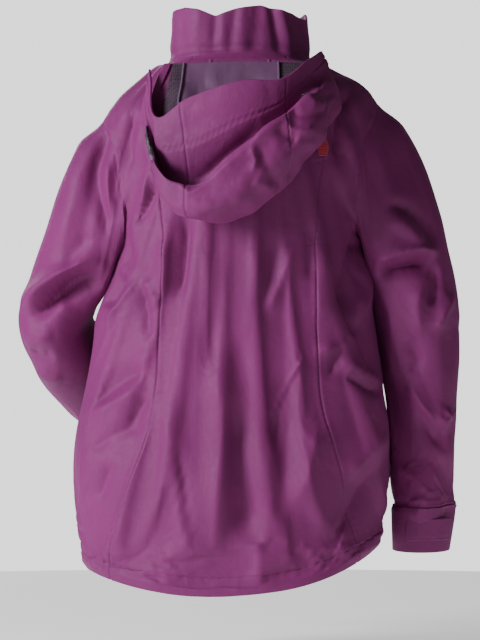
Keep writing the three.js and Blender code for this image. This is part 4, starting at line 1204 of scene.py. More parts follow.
for name, grid in zip(("collar_end_right", "collar_end_left"), ends):
    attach(grid_piece(name, grid, shell_nylon, slot="shell_cloth"), "torso")
foot = collar_grid[-2]
reach_foot = np.array([foot[np.argmin(np.linalg.norm(foot - q, axis=1))] for q in ring_grid[0]])
neck_tape = np.array([ring_grid[1] - ring_lines[1] * 0.8, ring_grid[0] - ring_lines[0] * 0.4,
                      (ring_grid[0] + reach_foot) / 2, reach_foot])
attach(grid_piece("neck_seam_tape", neck_tape, shell_nylon, slot="shell_cloth"), "torso")
print("collar top from", round(collar_grid[..., 2].max(), 1), "mm")

# %% [markdown]
# ## Hood
# The hood rests on the upper back like a bag with its mouth up. From the mouth outwards there is a
# stiffened brim that faces backwards, a deep crease, then a bright ridge where the cloth turns over,
# a full belly, and under it the wall that climbs back up to the neck seam. Eight rails, drawn from
# the wearer's left to right, carry that shape; the creases are drawn on it afterwards.

# %% Hood surface
HOOD_RAILS = np.array([
    [[120, 90, -20], [109, 124, -84], [68, 148, -62], [0, 163, -40],
     [-52, 156, -38], [-88, 132, -12], [-108, 92, 4]],
    [[124, 91, -42], [104, 140, -146], [56, 150, -164], [7, 156, -131],
     [-50, 150, -90], [-90, 130, -48], [-117, 93, -14]],
    [[128, 93, -58], [107, 160, -160], [60, 178, -184], [10, 186, -146],
     [-50, 178, -98], [-95, 156, -60], [-126, 95, -32]],
    [[130, 95, -78], [104, 168, -184], [60, 190, -212], [6, 198, -196],
     [-56, 192, -146], [-100, 170, -98], [-131, 97, -52]],
    [[126, 96, -94], [92, 142, -196], [50, 150, -217], [8, 150, -220],
     [-44, 148, -188], [-92, 140, -136], [-132, 98, -72]],
    [[122, 91, -82], [84, 127, -164], [42, 127, -176], [4, 128, -176],
     [-38, 127, -160], [-78, 123, -118], [-123, 92, -58]],
    [[112, 84, -44], [72, 107, -92], [36, 109, -99], [2, 110, -98],
     [-34, 109, -92], [-70, 105, -76], [-114, 84, -32]],
    [[99, 73, -12], [64, 74, -7], [32, 75, -5], [0, 75, -4],
     [-32, 75, -5], [-64, 74, -7], [-100, 73, -9]],
], float)
HOOD_SEAM = 0.3


def hood_surface(across, rail):
    """across 0 to 1 from the wearer's left, rail 0 (rim) to 7 (neck seam)."""
    rails = through(HOOD_RAILS.transpose(1, 0, 2), across * 6)
    out = np.zeros(rail.shape + (len(across), 3))
    for k in range(len(across)):
        out[:, k] = through(rails[k], rail)
    return out


across = np.unique(np.round(np.concatenate([np.linspace(0, 1, 151), [HOOD_SEAM, 1 - HOOD_SEAM],
                                            HOOD_SEAM + np.array([-0.004, 0.004]),
                                            1 - HOOD_SEAM + np.array([-0.004, 0.004])]), 5))
RAIL_CUT = 1.0
rail = np.unique(np.round(np.concatenate([np.linspace(0, 1, 17), np.linspace(1, 4, 55),
                                          np.linspace(4, 7, 46), [0.5 - 0.03, 0.5 + 0.03]]), 5))
hood_grid = hood_surface(across, rail)
hood_lines = grid_normals(hood_grid)
hood_lines *= np.sign(hood_lines[int(np.argmin(abs(rail - 3))), 75, 1])
amid = (smooth(across, 0.06, 0.2) * smooth(0.86 - across, 0, 0.2))[None, :]
crease = np.exp(-((rail[:, None] - 1.05) / 0.32) ** 2) * amid
ridge = np.exp(-((rail[:, None] - 1.95) / 0.38) ** 2) * amid
belly = np.exp(-((rail[:, None] - 3.1) / 0.5) ** 2) * amid
hood_out = 8 * ridge - 13 * crease - 6 * belly
hood_up = 9 * ridge - 9 * crease + 2 * belly
hood_grid += np.stack([0 * crease, hood_out, hood_up], 2)
hood_lines = grid_normals(hood_grid)
hood_lines *= np.sign(hood_lines[int(np.argmin(abs(rail - 3))), 75, 1])
HOOD_FOLDS = [
    ([(104, -160), (84, -168), (62, -184), (40, -168), (12, -144), (-14, -120), (-44, -98), (-66, -80)],
     4, 5, "sharp"),
    ([(100, -156), (78, -160), (56, -168), (30, -148), (6, -128), (-30, -104)], -6, 7, "soft"),
    ([(-13, -124), (-20, -142), (-16, -158)], 4.5, 5, "sharp"),
    ([(-20, -124), (-34, -150), (-44, -170), (-36, -180)], -4, 8, "soft"),
    ([(-16, -168), (-34, -176), (-50, -172)], 3, 6, "soft"),
    ([(-46, -98), (-58, -112), (-76, -118)], -4, 7, "soft"),
    ([(-56, -86), (-66, -100), (-84, -104), (-96, -96)], 4.5, 6, "sharp"),
    ([(-66, -70), (-76, -84), (-94, -84), (-112, -76)], -4, 6, "soft"),
    ([(-78, -52), (-92, -66), (-114, -70)], 4.5, 8, "soft"),
    ([(-96, -24), (-108, -48), (-124, -60)], -3.5, 7, "soft"),
    ([(-96, -122), (-84, -146), (-56, -168)], -4, 9, "soft"),
    ([(-108, -96), (-98, -130), (-72, -160)], 4, 9, "soft"),
    ([(86, -178), (52, -198), (10, -196), (-30, -184)], 3, 12, "soft"),
    ([(70, -200), (30, -212), (-20, -210)], -2.5, 8, "soft"),
    ([(118, -44), (112, -92), (106, -138)], 3.5, 6, "soft"),
    ([(128, -30), (122, -80), (112, -130)], -3, 5, "soft"),
    ([(60, -82), (10, -62), (-40, -54)], 1.6, 16, "soft"),
    ([(84, -136), (40, -116), (-10, -92), (-50, -76)], 2.2, 12, "soft"),
    ([(98, -116), (70, -100), (30, -84)], -1.5, 9, "soft"),
]
shape = hood_grid.shape[:2]
flat_points, flat_lines = hood_grid.reshape(-1, 3).copy(), hood_lines.reshape(-1, 3)
outer_part = np.repeat(rail < 4.2, shape[1])
for path, height, width, kind in HOOD_FOLDS:
    fold(flat_points, flat_lines, path, height, width, outer_part, kind, ends=(0.2, 0.2))
rumple = ripple(flat_points, 34, 8) * 2.6 + ripple(flat_points, 15, 9) * 0.9
right_side = 1 + 0.9 * smooth(-flat_points[:, 0], 0, 70)
calm = np.where(np.repeat(rail < 1, shape[1]), 0.35, 1.0) * smooth(np.repeat(7 - rail, shape[1]), 0, 1)
flat_points += flat_lines * (rumple * right_side * calm)[:, None]
hood_grid = flat_points.reshape(hood_grid.shape)
hood_lines = grid_normals(hood_grid)
hood_lines *= np.sign(hood_lines[int(np.argmin(abs(rail - 3))), 75, 1])
hood_plain, plain_lines = hood_grid.copy(), hood_lines.copy()
mid_brim = int(np.argmin(np.abs(rail - 0.5)))
relief = np.zeros(shape)
down = length_down(hood_grid)
for share in (HOOD_SEAM, 1 - HOOD_SEAM):
    at = int(np.argmin(np.abs(across - share)))
    relief += seam_relief(np.abs(column_distance(hood_grid, at)), down, 0.9, 0.4) * (rail > 0)[:, None]
gap = np.abs(row_distance(hood_grid, mid_brim))
relief += seam_relief(gap, np.abs(column_distance(hood_grid, 0)), 1.2, 0.25) * (rail < 1.2)[:, None]
hood_grid = hood_grid + hood_lines * relief[..., None]
hood_lines = grid_normals(hood_grid)
hood_lines *= np.sign(hood_lines[int(np.argmin(abs(rail - 3))), 75, 1])
print("hood grid", hood_grid.shape[:2])

# %% Hood panels, rim and lining
cut_row = int(np.argmin(np.abs(rail - RAIL_CUT)))
cut_left = int(np.argmin(np.abs(across - HOOD_SEAM)))
cut_right = int(np.argmin(np.abs(across - (1 - HOOD_SEAM))))


def hood_piece(name, rows_range, columns, node):
    grid, lines = hood_grid[rows_range, columns], hood_lines[rows_range, columns]
    test = grid_normals(grid)[len(grid) // 2, grid.shape[1] // 2] @ lines[len(grid) // 2, grid.shape[1] // 2]
    obj = grid_piece(name, grid, shell_nylon, lines, flip=test < 0, nodes=[node], slot="shell_cloth")
    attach(obj, "hood")
    declare_sheet(obj, grid)
    return obj


hood_piece("hood_brim_cloth", slice(0, cut_row + 1), slice(None), "hood_brim")
hood_piece("hood_center_cloth", slice(cut_row, None), slice(cut_left, cut_right + 1), "hood_center_panel")
hood_piece("hood_left_cloth", slice(cut_row, None), slice(0, cut_left + 1), "hood_left_panel")
hood_piece("hood_right_cloth", slice(cut_row, None), slice(cut_right, None), "hood_right_panel")
inner = hood_plain - plain_lines * 3.4
inner_mask = slice(2, -1)
lining_rows = inner[inner_mask, 9:-9]
MESH_LEFT, MESH_RIGHT = 0.13, 0.76
lining_lines = plain_lines[inner_mask, 9:-9]
shown_rows = np.repeat(rail[inner_mask], lining_rows.shape[1]).reshape(lining_rows.shape[:2])
flat = lining_rows.reshape(-1, 3)
soft = ripple(flat, 30, 12, (1, 1, 0.8)) * 5 + ripple(flat, 13, 13) * 1.2
soft = soft.reshape(shown_rows.shape) * smooth(shown_rows, 4.6, 5.4) * smooth(7 - shown_rows, 0, 0.5)
set_in = np.maximum(soft + 2.0 * smooth(shown_rows, 4.6, 5.4), 0)
lining_rows = lining_rows - lining_lines * set_in[..., None]
cells = (across[9:-9][1:] + across[9:-9][:-1]) / 2
is_mesh = (cells < MESH_LEFT) | (cells > MESH_RIGHT)
slots = np.tile(is_mesh.astype(int), lining_rows.shape[0] - 1)
test = grid_normals(lining_rows)[20, 70] @ lining_lines[20, 70]
hood_lining = grid_piece("hood_lining_cloth", lining_rows, [lining_taffeta, mesh_knit], flip=test < 0,
                         slots=slots, nodes=["hood_lining"], slot="lining_cloth")
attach(hood_lining, "hood")
declare_sheet(hood_lining, lining_rows)
rim_roll = turned_in(hood_grid[:10][::-1], hood_lines[:10][::-1], 5, 1.5)
rim = grid_piece("hood_rim_facing", rim_roll, shell_nylon, slot="shell_cloth")
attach(rim, "hood")
declare_sheet(rim, rim_roll)
for name, column, pick in (("left", 0, 1), ("right", -1, -2)):
    edge, away = hood_grid[:, column], unit(hood_grid[:, column] - hood_grid[:, pick])
    roll = np.concatenate([edge[None], rolled(edge, away, hood_lines[:, column], 1.5, 8, 5, 3)])
    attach(grid_piece(f"hood_{name}_binding", roll, shell_nylon, slot="shell_cloth"), "hood")


def cord_tube(name, line, radius, material, body_name, sides=10):
    """A round bead or piping along a line of points in millimetres."""
    line = np.asarray(line, float)
    run = unit(np.gradient(line, axis=0))
    up = np.tile([0, 0, 1.0], (len(line), 1))
    a = unit(np.cross(run, up) + 1e-6)
    b = np.cross(run, a)
    turn = np.linspace(0, 2 * math.pi, sides, endpoint=False)
    grid = line[:, None] + radius * (a[:, None] * np.cos(turn)[:, None] + b[:, None] * np.sin(turn)[:, None])
    obj = grid_piece(name, grid, material, ring=True)
    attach(obj, body_name)
    return obj


for name, share in (("left", MESH_LEFT), ("right", MESH_RIGHT)):
    column = int(np.argmin(np.abs(across[9:-9] - share)))
    keep = (rail[inner_mask] > 4.7)
    line = lining_rows[keep, column] - lining_lines[keep, column] * 1.4
    cord_tube(f"hood_lining_binding_{name}", line, 1.6, binding, "hood")
print("hood lining", lining_rows.shape[:2], "mesh shares", MESH_LEFT, MESH_RIGHT)

# %% [markdown]
# ## Linings and pocket bags
# Inside hangs a loose mesh lining, sewn in at the neck, the front edges and the hem. It follows the
# shell at a distance of about 15 mm and doesn't share its folds, so it is made from the shell's net
# with the folds relaxed away, set back and given slow waves of its own.

# %% Hung linings
def set_back(source, columns, rows_range, depth, wave_seed):
    grid = finer(cloth_calm[source], np.arange(rows_range[0], rows_range[1] + 0.1, 2.0), columns)
    lines = grid_normals(grid)
    lines *= np.sign((lines * grid * np.array([1, 1, 0])).sum(2).mean())
    wave = ripple(grid.reshape(-1, 3), 60, wave_seed, (1, 1, 0.3)).reshape(grid.shape[:2]) * 2.2
    return grid - lines * (depth + wave)[..., None]


calm_weight = np.ones(len(cloth)) * smooth(near_armhole, 0, 8)
calm = relax(cloth, free * calm_weight, 60, 0.9)
cloth_calm = {name: calm[ids[name]] for name in ("back", "front_left", "front_right")}
for name, source, columns in (
        ("lining_back", "back", np.arange(1, sum(BACK_COLUMNS) - 0.9, 2.0)),
        ("lining_front_left", "front_left", np.arange(1, FRONT_COLUMNS - 2, 2.0)),
        ("lining_front_right", "front_right", np.arange(1, FRONT_COLUMNS - 2, 2.0))):
    grid = set_back(source, columns, (3, ROW_HEM - 6), 15, 21)
    obj = grid_piece(f"{name}_mesh", grid, mesh_knit, nodes=[name], slot="lining_cloth")
    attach(obj, "torso")
    declare_sheet(obj, grid)
for side in ("left", "right"):
    grid = set_back(f"front_{side}", np.arange(12, 27, 1.0), (62, 100), 9, 31)
    obj = grid_piece(f"pocket_bag_{side}_cloth", grid, lining_taffeta, nodes=[f"pocket_bag_{side}"],
                     slot="lining_cloth")
    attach(obj, "torso")
    declare_sheet(obj, grid)
print("linings hung")

# %% [markdown]
# ## The front closure
# A moulded zip runs from the collar to the hem under a storm flap. Its teeth are small pegs, a few
# millimetres apart, on a woven tape; the slider is die-cast and carries a rubber pull.

# %% Frame of the front edge
DOWN = unit(np.array([0, -ZIP_SLOPE, -1.0]))
OUT = unit(np.array([0, -1.0, ZIP_SLOPE]))
ACROSS = np.array([1.0, 0, 0])
ZIP_TOP, ZIP_BOTTOM = COLLAR_FRONT_TOP - 6, -FRONT_LENGTH + 6


def zip_point(x, z, out=0.0):
    return np.array([x, float(zip_y(z)), z]) + OUT * out


def rounded_slab(half_x, half_y, thick, corner, segments=6, bevel=0.35):
    """Points and faces of a flat slab with rounded corners and bevelled rims, centred at 0."""
    loop = []
    for cx, cy, start in ((1, 1, 0), (-1, 1, 90), (-1, -1, 180), (1, -1, 270)):
        for k in range(segments + 1):
            a = math.radians(start + 90 * k / segments)
            loop.append((cx * (half_x - corner) + corner * math.cos(a),
                         cy * (half_y - corner) + corner * math.sin(a)))
    loop = np.array(loop)
    n = len(loop)
    shrink = lambda d: loop * (1 - d / np.array([half_x, half_y]))
    layers = [(shrink(bevel), 0), (loop, bevel), (loop, thick - bevel), (shrink(bevel), thick)]
    points = np.concatenate([np.column_stack([xy, np.full(n, z)]) for xy, z in layers])
    quads = squares(np.arange(4 * n).reshape(4, n), ring=True).tolist()
    centre = [[0, 0, 0], [0, 0, thick]]
    points = np.concatenate([points, centre])
    quads += [[(k + 1) % n, k, 4 * n] for k in range(n)]
    quads += [[3 * n + k, 3 * n + (k + 1) % n, 4 * n + 1] for k in range(n)]
    return points, quads


def placed(points, origin, x, y, z):
    return origin + points[:, :1] * x + points[:, 1:2] * y + points[:, 2:3] * z


def merged(parts):
    """Joins (points, faces) lists into one."""
    points, quads, base = [], [], 0
    for p, q in parts:
        points.append(np.asarray(p, float))
        quads += [[i + base for i in face] for face in q]
        base += len(p)
    return np.concatenate(points), quads


# %% Tapes, teeth, box, slider and pull
for side, sign_x in (("left", 1), ("right", -1)):
    parts = []
    tooth, tooth_faces = rounded_slab(1.35, 0.62, 2.6, 0.5, 3, 0.3)
    for k, z in enumerate(np.arange(ZIP_BOTTOM + 17, ZIP_TOP - 1, 2.5)):
        z = z + (1.25 if sign_x < 0 else 0)
        parts.append((placed(tooth, zip_point(sign_x * 1.55, z, -2.9), ACROSS, DOWN, OUT), tooth_faces))
    teeth = piece(f"zip_teeth_{side}_moulded", *merged(parts), tooth_plastic,
                  nodes=[f"zip_teeth_{side}"], slot="zip_plastic")
    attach(teeth, "torso")
    z = np.linspace(ZIP_TOP, ZIP_BOTTOM, 180)
    x = sign_x * np.linspace(2.9, 13.5, 8)
    tape = np.array([[zip_point(xx, zz, -2.4 + 0.25 * math.sin(zz / 17)) for xx in x] for zz in z])
    bead = np.array([[zip_point(sign_x * (2.9 + 0.5 * math.sin(a)), zz, -2.0 + 0.6 * math.cos(a))
                      for a in np.linspace(0, 2 * math.pi, 8, endpoint=False)] for zz in z])
    tape_piece = grid_piece(f"zip_tape_{side}_woven", tape, zip_tape, nodes=[f"zip_tape_{side}"],
                            slot="zip_plastic")
    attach(tape_piece, "torso")
    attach(grid_piece(f"zip_bead_{side}", bead, zip_tape, ring=True), "torso")


def slider_body(origin, x, y, z):
    """A die-cast slider: two plates, a bridge over them and side flanges."""
    plate, plate_faces = rounded_slab(5.2, 7.6, 1.1, 3.0)
    bridge, bridge_faces = rounded_slab(1.3, 4.6, 1.6, 0.8)
    flange, flange_faces = rounded_slab(0.5, 5.6, 2.4, 0.3)
    parts = [(placed(plate, origin + z * 0.1, x, y, z), plate_faces),
             (placed(plate, origin + z * 2.2, x, y, z), plate_faces),
             (placed(bridge, origin + z * 3.2 - z * 1.3, x, y, z), bridge_faces)]
    for s in (-1, 1):
        parts.append((placed(flange, origin + x * s * 4.7 + z * 0.6, x, y, z), flange_faces))
    return merged(parts)


def pull_tab(origin, x, y, z):
    """A pull: a small loop through the bridge and a ribbed rubber tab below it."""
    tab, tab_faces = rounded_slab(3.9, 10.5, 1.7, 2.6)
    parts = [(placed(tab, origin + y * 19, x, y, z), tab_faces)]
    rib, rib_faces = rounded_slab(2.6, 0.5, 0.5, 0.3, 3, 0.15)
    for k in range(5):
        parts.append((placed(rib, origin + y * (15 + 2.4 * k) + z * 1.5, x, y, z), rib_faces))
    turn = np.linspace(0, 2 * math.pi, 28, endpoint=False)
    ring_line = np.stack([2.4 * np.cos(turn), 5.0 + 5.2 * np.sin(turn), 0.9 + 0 * turn], 1)
    small = np.linspace(0, 2 * math.pi, 8, endpoint=False)
    outward = np.stack([np.cos(turn), np.sin(turn), 0 * turn], 1)
    tube = ring_line[:, None] + 0.55 * (outward[:, None] * np.cos(small)[:, None]
                                       + np.array([0, 0, 1.0]) * np.sin(small)[:, None])
    closed_grid = np.concatenate([tube, tube[:1]])
    flat = closed_grid.reshape(-1, 3)
    quads = squares(np.arange(len(flat)).reshape(closed_grid.shape[:2]), ring=True).tolist()
    parts.append((placed(flat, origin, x, y, z), quads))
    return merged(parts)


def add_slider(prefix, down, out):
    low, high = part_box(f"{prefix}_slider")
    centre = np.array((low + high) / 2) / MM
    across_it = unit(np.cross(down, out))
    base = centre - out * 1.8
    cast = piece(f"{prefix}_slider_cast", *slider_body(base, across_it, down, out), slider_metal,
                 nodes=[f"{prefix}_slider"], slot="slider_metal")
    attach(cast, f"{prefix}_slider")
    low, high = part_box(f"{prefix}_pull")
    centre = np.array((low + high) / 2) / MM
    tab = piece(f"{prefix}_pull_moulded", *pull_tab(centre - down * 15 - out * 0.9, across_it, down, out),
                pull_rubber, nodes=[f"{prefix}_pull"], slot="zip_plastic")
    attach(tab, f"{prefix}_pull")


add_slider("zip", DOWN, OUT)
box_points, box_faces = rounded_slab(4.5, 7, 2.4, 1.2)
box_points = placed(box_points, zip_point(0, ZIP_BOTTOM + 8, 0.4), ACROSS, DOWN, OUT)
box_piece = piece("zip_box_moulded", box_points, box_faces, tooth_plastic, nodes=["zip_box"],
                  slot="zip_plastic")
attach(box_piece, "torso")
print("zip made:", len(pieces), "pieces so far")

# %% [markdown]
# ## Storm flap, pockets, tabs, loop and badge
# The storm flap is a double strip of shell with rounded corners and two rows of stitching. The
# pockets are straight zips between narrow welts. Cuff tabs close with hook and loop tape.

# %% Storm flap and its tapes
def soft_strip(width_points, length_points, place, thick, corner, wave=0.0, seed=3):
    """A closed, slightly pillowy strip: place(u, v, h) maps to space, u and v in mm."""
    half_u, half_v = width_points / 2, length_points / 2
    columns = np.concatenate([np.linspace(-half_u, -half_u + 4, 5)[:-1],
                              np.linspace(-half_u + 4, half_u - 4, 9)[:-1],
                              np.linspace(half_u - 4, half_u, 5)])
    count = max(10, int(length_points / 6))
    rows = np.concatenate([np.linspace(-half_v, -half_v + corner, 6)[:-1],
                           np.linspace(-half_v + corner, half_v - corner, count)[:-1],
                           np.linspace(half_v - corner, half_v, 6)])
    grids = []
    for face in (1, 0):
        grid = np.zeros((len(rows), len(columns), 3))
        for j, v in enumerate(rows):
            past = max(0.0, abs(v) - (half_v - corner))
            narrow = corner - math.sqrt(max(corner**2 - past**2, 0))
            for i, u in enumerate(columns):
                uu = u * (half_u - narrow) / half_u
                edge = min(half_u - abs(uu), half_v - abs(v))
                puff = thick / 2 * min(1, 0.35 + 0.65 * math.sqrt(max(edge, 0) / 2.2))
                puff -= 0.35 * math.exp(-((edge - 3.2) / 0.9) ** 2)
                h = thick / 2 + (puff if face else -puff)
                h += wave * noise.noise(Vector((uu / 40, v / 55, seed)))
                grid[j, i] = place(uu, v, h)
        grids.append(grid)
    outer, back = grids
    n, m = outer.shape[:2]
    number = np.arange(2 * n * m).reshape(2, n, m)
    quads = squares(number[0]).tolist() + squares(number[1])[:, ::-1].tolist()
    loop = (list(number[0, 0]) + list(number[0, 1:, -1]) + list(number[0, -1, -2::-1])
            + list(number[0, -2:0:-1, 0]))
    other = [k + n * m for k in loop]
    for k in range(len(loop)):
        a, b = k, (k + 1) % len(loop)
        quads.append([loop[b], loop[a], other[a], other[b]])
    return np.concatenate([outer.reshape(-1, 3), back.reshape(-1, 3)]), quads, outer


FLAP_HINGE, FLAP_EDGE, FLAP_TOP, FLAP_BOTTOM, FLAP_RISE = -24, 28, -16, -660, 9.5
FLAP_SEWN_BAND, FLAP_SEWN_RISE = 14, 0.6
flap_middle = zip_point((FLAP_HINGE + FLAP_EDGE) / 2, (FLAP_TOP + FLAP_BOTTOM) / 2, FLAP_RISE)


def on_flap(u, v, h):
    """A point of the flap, which bends down to the panel along its sewn edge."""
    from_hinge = u + (FLAP_EDGE - FLAP_HINGE) / 2
    bend = float(smooth(FLAP_SEWN_BAND - from_hinge, 0, FLAP_SEWN_BAND))
    return flap_middle + ACROSS * u + DOWN * v + OUT * (h - (FLAP_RISE - FLAP_SEWN_RISE) * bend)


flap_points, flap_quads, flap_top = soft_strip(
    FLAP_EDGE - FLAP_HINGE, (FLAP_TOP - FLAP_BOTTOM) / abs(DOWN[2]), on_flap, 2.2, 12, 0.8)
flap = piece("storm_flap_cloth", flap_points, flap_quads, shell_nylon, nodes=["storm_flap"],
             slot="shell_cloth")
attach(flap, "storm_flap")
cuts[flap.name] = ((0.052, 0.648), 0.0337)
for node in ("flap_hooks_top", "flap_hooks_bottom", "flap_loops_top", "flap_loops_bottom",
             "left_cuff_loops", "right_cuff_loops"):
    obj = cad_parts[node]
    obj.data.materials.clear()
    obj.data.materials.append(hook_pile)
    if node.startswith("flap"):
        bevel = obj.modifiers.new("soft edge", "BEVEL")
        bevel.width, bevel.segments = 0.3 * MM, 2
print("storm flap", flap_top.shape[:2])

# %% Hanger loop, cuff tabs, badge
turn = np.linspace(0, 1, 41)
loop_grid = []
for w in np.linspace(0, 1, 6):
    bow = np.sin(math.pi * turn)
    loop_grid.append(np.stack([-30 + 60 * turn, 58.2 - 3 - 9 * bow, 20 - 12 * bow - 5 * w + 0 * turn], 1))
loop_grid = np.array(loop_grid)
loop_lines = grid_normals(loop_grid)
both = np.concatenate([loop_grid, (loop_grid - loop_lines * 1.1)[::-1]])
loop = grid_piece("hanger_loop_tape", both, zip_tape, nodes=["hanger_loop"], slot="shell_cloth")
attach(loop, "torso")

CUFF_TAB_START, CUFF_TAB_SWEEP, CUFF_TAB_WIDTH = 30 / 360, 95 / 360, 30
tab_runs = {}
for side, arm in (("left", LEFT), ("right", RIGHT)):
    top = FOREARM - CUFF_LENGTH + (CUFF_LENGTH - CUFF_TAB_WIDTH) / 2
    sweep_mm = CUFF_TAB_SWEEP * 2 * math.pi * 41

    def on_cuff(u, v, h, arm=arm, top=top, sweep_mm=sweep_mm):
        turn = CUFF_TAB_START + CUFF_TAB_SWEEP * (v / sweep_mm + 0.5)
        p = forearm(arm, np.array(turn), np.array(top + CUFF_TAB_WIDTH / 2 + u))
        centre = arm["elbow"] + arm["lower"] * (top + CUFF_TAB_WIDTH / 2 + u)
        return p + unit(p - centre) * (h + 2.6)

    points, quads, top_grid = soft_strip(CUFF_TAB_WIDTH, sweep_mm, on_cuff, 2.0, 9, 0.3)
    tab = piece(f"{side}_cuff_tab_cloth", points, quads, shell_nylon, nodes=[f"{side}_cuff_tab"],
                slot="shell_cloth")
    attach(tab, f"{side}_cuff_tab")
    tab_runs[side] = top_grid
print("tabs", list(tab_runs))

low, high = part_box("shoulder_badge")
centre = np.array((low + high) / 2) / MM


def body_spot(x, z):
    """Point and normal of the finished back nearest a given x and z."""
    grid, lines = fine["back"], shade_normals["back"]
    gap = (grid[..., 0] - x) ** 2 + (grid[..., 2] - z) ** 2
    at = np.unravel_index(gap.argmin(), gap.shape)
    return grid[at], lines[at]


spot, badge_out = body_spot(centre[0], centre[2])
spot = np.array([centre[0], max(centre[1], spot[1] + 0.4), centre[2]])
badge_x = unit(np.cross(badge_out, [0, 0, 1.0]))
badge_up = unit(np.cross(badge_x, badge_out)) * -1
parts = []
slab, slab_faces = rounded_slab(8.0, 1.15, 1.5, 0.9, 4, 0.45)
for k in range(10):
    half = 8.0 * (0.62 + 0.38 * math.sin(math.pi * (k + 0.5) / 10))
    scaled = slab * np.array([half / 8.0, 1, 1])
    at = spot + badge_up * (-9.9 + 2.2 * k) + badge_out * (0.1 * (k % 2))
    parts.append((placed(scaled, at, badge_x, badge_up, badge_out), slab_faces))
badge = piece("shoulder_badge_embroidered", *merged(parts), red_thread, nodes=["shoulder_badge"],
              slot="badge_thread")
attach(badge, "torso")

# %% Pocket zips
for side, s in (("left", 1), ("right", -1)):
    low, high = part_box(f"pocket_zip_{side}")
    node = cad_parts[f"pocket_zip_{side}"]
    corner_points = np.array([v.co for v in node.data.vertices]) / MM
    centre = corner_points.mean(0)
    spread = corner_points - centre
    values, axes = np.linalg.eigh(spread.T @ spread)
    long_axis, wide_axis, thin_axis = axes[:, 2], axes[:, 1], axes[:, 0]
    if long_axis[2] > 0:
        long_axis = -long_axis
    if thin_axis @ np.array([s * 0.5, -1, 0]) < 0:
        thin_axis = -thin_axis
    wide_axis = np.cross(thin_axis, long_axis)
    length = np.ptp(spread @ long_axis)
    parts = []
    for lean in (-1, 1):
        welt, welt_quads, _ = soft_strip(
            7.4, length, lambda u, v, h, lean=lean: centre + wide_axis * (u + lean * 5.2) + long_axis * v
            + thin_axis * (h - 1.0), 2.1, 2.5, 0.2)
        parts.append((welt, welt_quads))
    welts = piece(f"pocket_welts_{side}", *merged(parts), shell_nylon, nodes=[f"pocket_zip_{side}"],
                  slot="shell_cloth")
    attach(welts, "torso")
    teeth_parts = []
    tooth, tooth_faces = rounded_slab(1.0, 0.42, 1.5, 0.3, 2, 0.2)
    for k, v in enumerate(np.arange(-length / 2 + 3, length / 2 - 3, 0.95)):
        at = centre + long_axis * v + wide_axis * (0.75 if k % 2 else -0.75) - thin_axis * 0.6
        teeth_parts.append((placed(tooth, at, wide_axis, long_axis, thin_axis), tooth_faces))
    coil = piece(f"pocket_coil_{side}", *merged(teeth_parts), tooth_plastic, slot="zip_plastic")
    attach(coil, "torso")
    add_slider(f"pocket_{side}", long_axis, thin_axis)
print("pockets done;", len(pieces), "pieces")

# %% [markdown]
# ## Topstitching
# Rows of thread lie beside the long back seams, above the hem, round the cuffs, along the brim and
# the hood's seams, and round the storm flap and the cuff tabs.

# %% Stitch rows
def grid_line(name, pick):
    return fine[name][pick], shade_normals[name][pick]


below_tip = slice(2, -3)
for obj, body in (
        (stitches("back_seam_stitches", [grid_line("back", (below_tip, seam_at[0] + 2)),
                                         grid_line("back", (below_tip, seam_at[1] - 2))], seam_thread),
         "torso"),
        (stitches("hem_stitches", [(ring_grid[hem_at], ring_lines[hem_at])], seam_thread), "torso"),
        (stitches("yoke_stitches", [grid_line("front_left", (yoke_at + 2, slice(2, -2))),
                                    grid_line("front_right", (yoke_at + 2, slice(2, -2)))], seam_thread),
         "torso"),
        (stitches("hood_stitches", [(hood_grid[cut_row - 2], hood_lines[cut_row - 2]),
                                    (hood_grid[cut_row + 2:-4, cut_left + 2], hood_lines[cut_row + 2:-4,
                                                                                        cut_left + 2]),
                                    (hood_grid[cut_row + 2:-4, cut_right - 2], hood_lines[cut_row + 2:-4,
                                                                                         cut_right - 2]),
                                    (hood_grid[2], hood_lines[2])], seam_thread), "hood")):
    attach(obj, body)
for side in ("left", "right"):
    grid, lines = fine[f"sleeve_{side}"], shade_normals[f"sleeve_{side}"]
    around = np.r_[0:grid.shape[1], 0]
    rows_of = stitches(f"{side}_cuff_stitches", [(grid[cuff_stitch, around], lines[cuff_stitch, around])],
                       seam_thread)
    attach(rows_of, f"{side}_forearm")
    top = tab_runs[side]
    inset = [top[3:-3, 2], top[-4, 2:-2], top[-4:2:-1, -3], top[3, -3:1:-1]]
    spots = np.concatenate(inset)
    centre_line = (LEFT if side == "left" else RIGHT)
    axis_points = centre_line["elbow"] + centre_line["lower"] * ((spots - centre_line["elbow"])
                                                                 @ centre_line["lower"])[:, None]
    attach(stitches(f"{side}_tab_stitches", [(spots, unit(spots - axis_points))], seam_thread),
            f"{side}_cuff_tab")
for_flap = [flap_top[4:-4, 3], flap_top[4:-4, -4]]
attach(stitches("flap_stitches", [(line, np.tile(OUT, (len(line), 1))) for line in for_flap], seam_thread),
        "storm_flap")
print("stitches laid;", len(pieces), "pieces in all")

# %% [markdown]
# ## Stage
# A round pale floor under the jacket, one large soft light on the wearer's left, a weak one opposite
# and one for the front. The even pale sky looks brighter to the camera than it shines on the jacket.
# The camera looks straight at the back with a long lens.

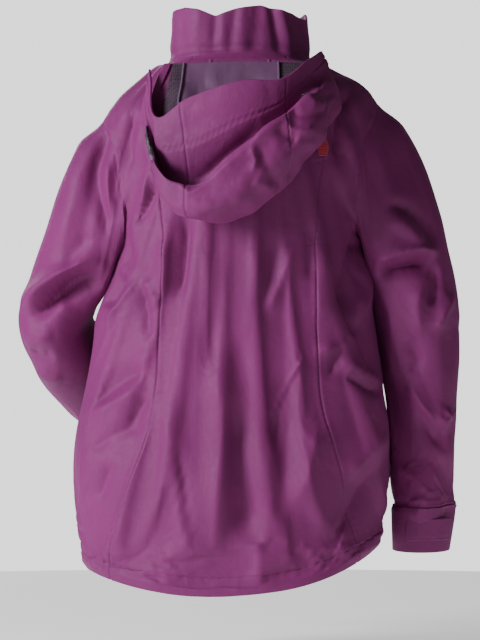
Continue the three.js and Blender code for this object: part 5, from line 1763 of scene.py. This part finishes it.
# %% Floor
paper, tree, place = start_material("matt white paper")
fibre = add_node(tree, "ShaderNodeTexNoise", {"Vector": (place, "Object"), "Scale": 60})
tint = add_node(tree, "ShaderNodeMix", {"Factor": (fibre, "Fac"), 6: linear("#F4F3F5"),
                                        7: linear("#EFEEF1")}, data_type="RGBA")
paper_bump = add_node(tree, "ShaderNodeBump", {"Height": (fibre, "Fac"), "Distance": 0.0002})
finish_material(tree, (tint, 2), (paper_bump, 0), 0.9, Emission_Color=(1, 1, 1, 1), Emission_Strength=0.55)
FLOOR_Z, FLOOR_RADIUS = -0.80, 1700
turn = np.linspace(0, 2 * math.pi, 97)[:-1]
disc = np.array([[(r * math.cos(a), r * math.sin(a), FLOOR_Z / MM) for a in turn]
                 for r in (FLOOR_RADIUS, FLOOR_RADIUS / 2, 1)])
floor = grid_piece("studio_floor", disc, paper, ring=True)
print("floor at", FLOOR_Z, "m")


# %% Lights, sky and camera
def area_light(name, place, aim, power, size, colour=(1, 1, 1)):
    light = bpy.data.lights.new(name, "AREA")
    light.energy, light.size, light.color = power, size, colour
    obj = bpy.data.objects.new(name, light)
    bpy.context.scene.collection.objects.link(obj)
    obj.location = place
    obj.rotation_euler = (Vector(aim) - Vector(place)).to_track_quat("-Z", "Y").to_euler()
    return obj


KEY_POWER, FILL_POWER, FRONT_POWER, SKY = 62, 1.5, 30, 0.12
area_light("key light", (1.7, 1.15, 0.35), (0, 0, -0.35), KEY_POWER, 0.7, (0.90, 0.93, 1.0))
area_light("fill light", (-1.6, 2.2, 0.6), (0, 0, -0.3), FILL_POWER, 1.6)
area_light("front fill", (1.1, -2.6, 0.9), (0, 0, -0.3), FRONT_POWER, 1.4)
world = bpy.data.worlds.new("even sky")
world.use_nodes = True
sky = world.node_tree
sky.nodes.clear()
seen_sky = add_node(sky, "ShaderNodeBackground", {"Color": linear("#F6F6F8"), "Strength": 1.9})
lit_sky = add_node(sky, "ShaderNodeBackground", {"Color": (1, 0.97, 0.98, 1), "Strength": SKY})
ray = add_node(sky, "ShaderNodeLightPath")
choice = add_node(sky, "ShaderNodeMixShader", {0: (ray, "Is Camera Ray"), 1: (lit_sky, 0), 2: (seen_sky, 0)})
add_node(sky, "ShaderNodeOutputWorld", {"Surface": (choice, 0)})
bpy.context.scene.world = world
camera = bpy.data.objects.new("camera", bpy.data.cameras.new("camera"))
camera.data.lens = 200
camera.location = (0.0, 4.75, -0.348)
camera.rotation_euler = (math.radians(90), 0, math.radians(180))
bpy.context.scene.collection.objects.link(camera)
bpy.context.scene.camera = camera
print("camera", tuple(round(v, 3) for v in camera.location))
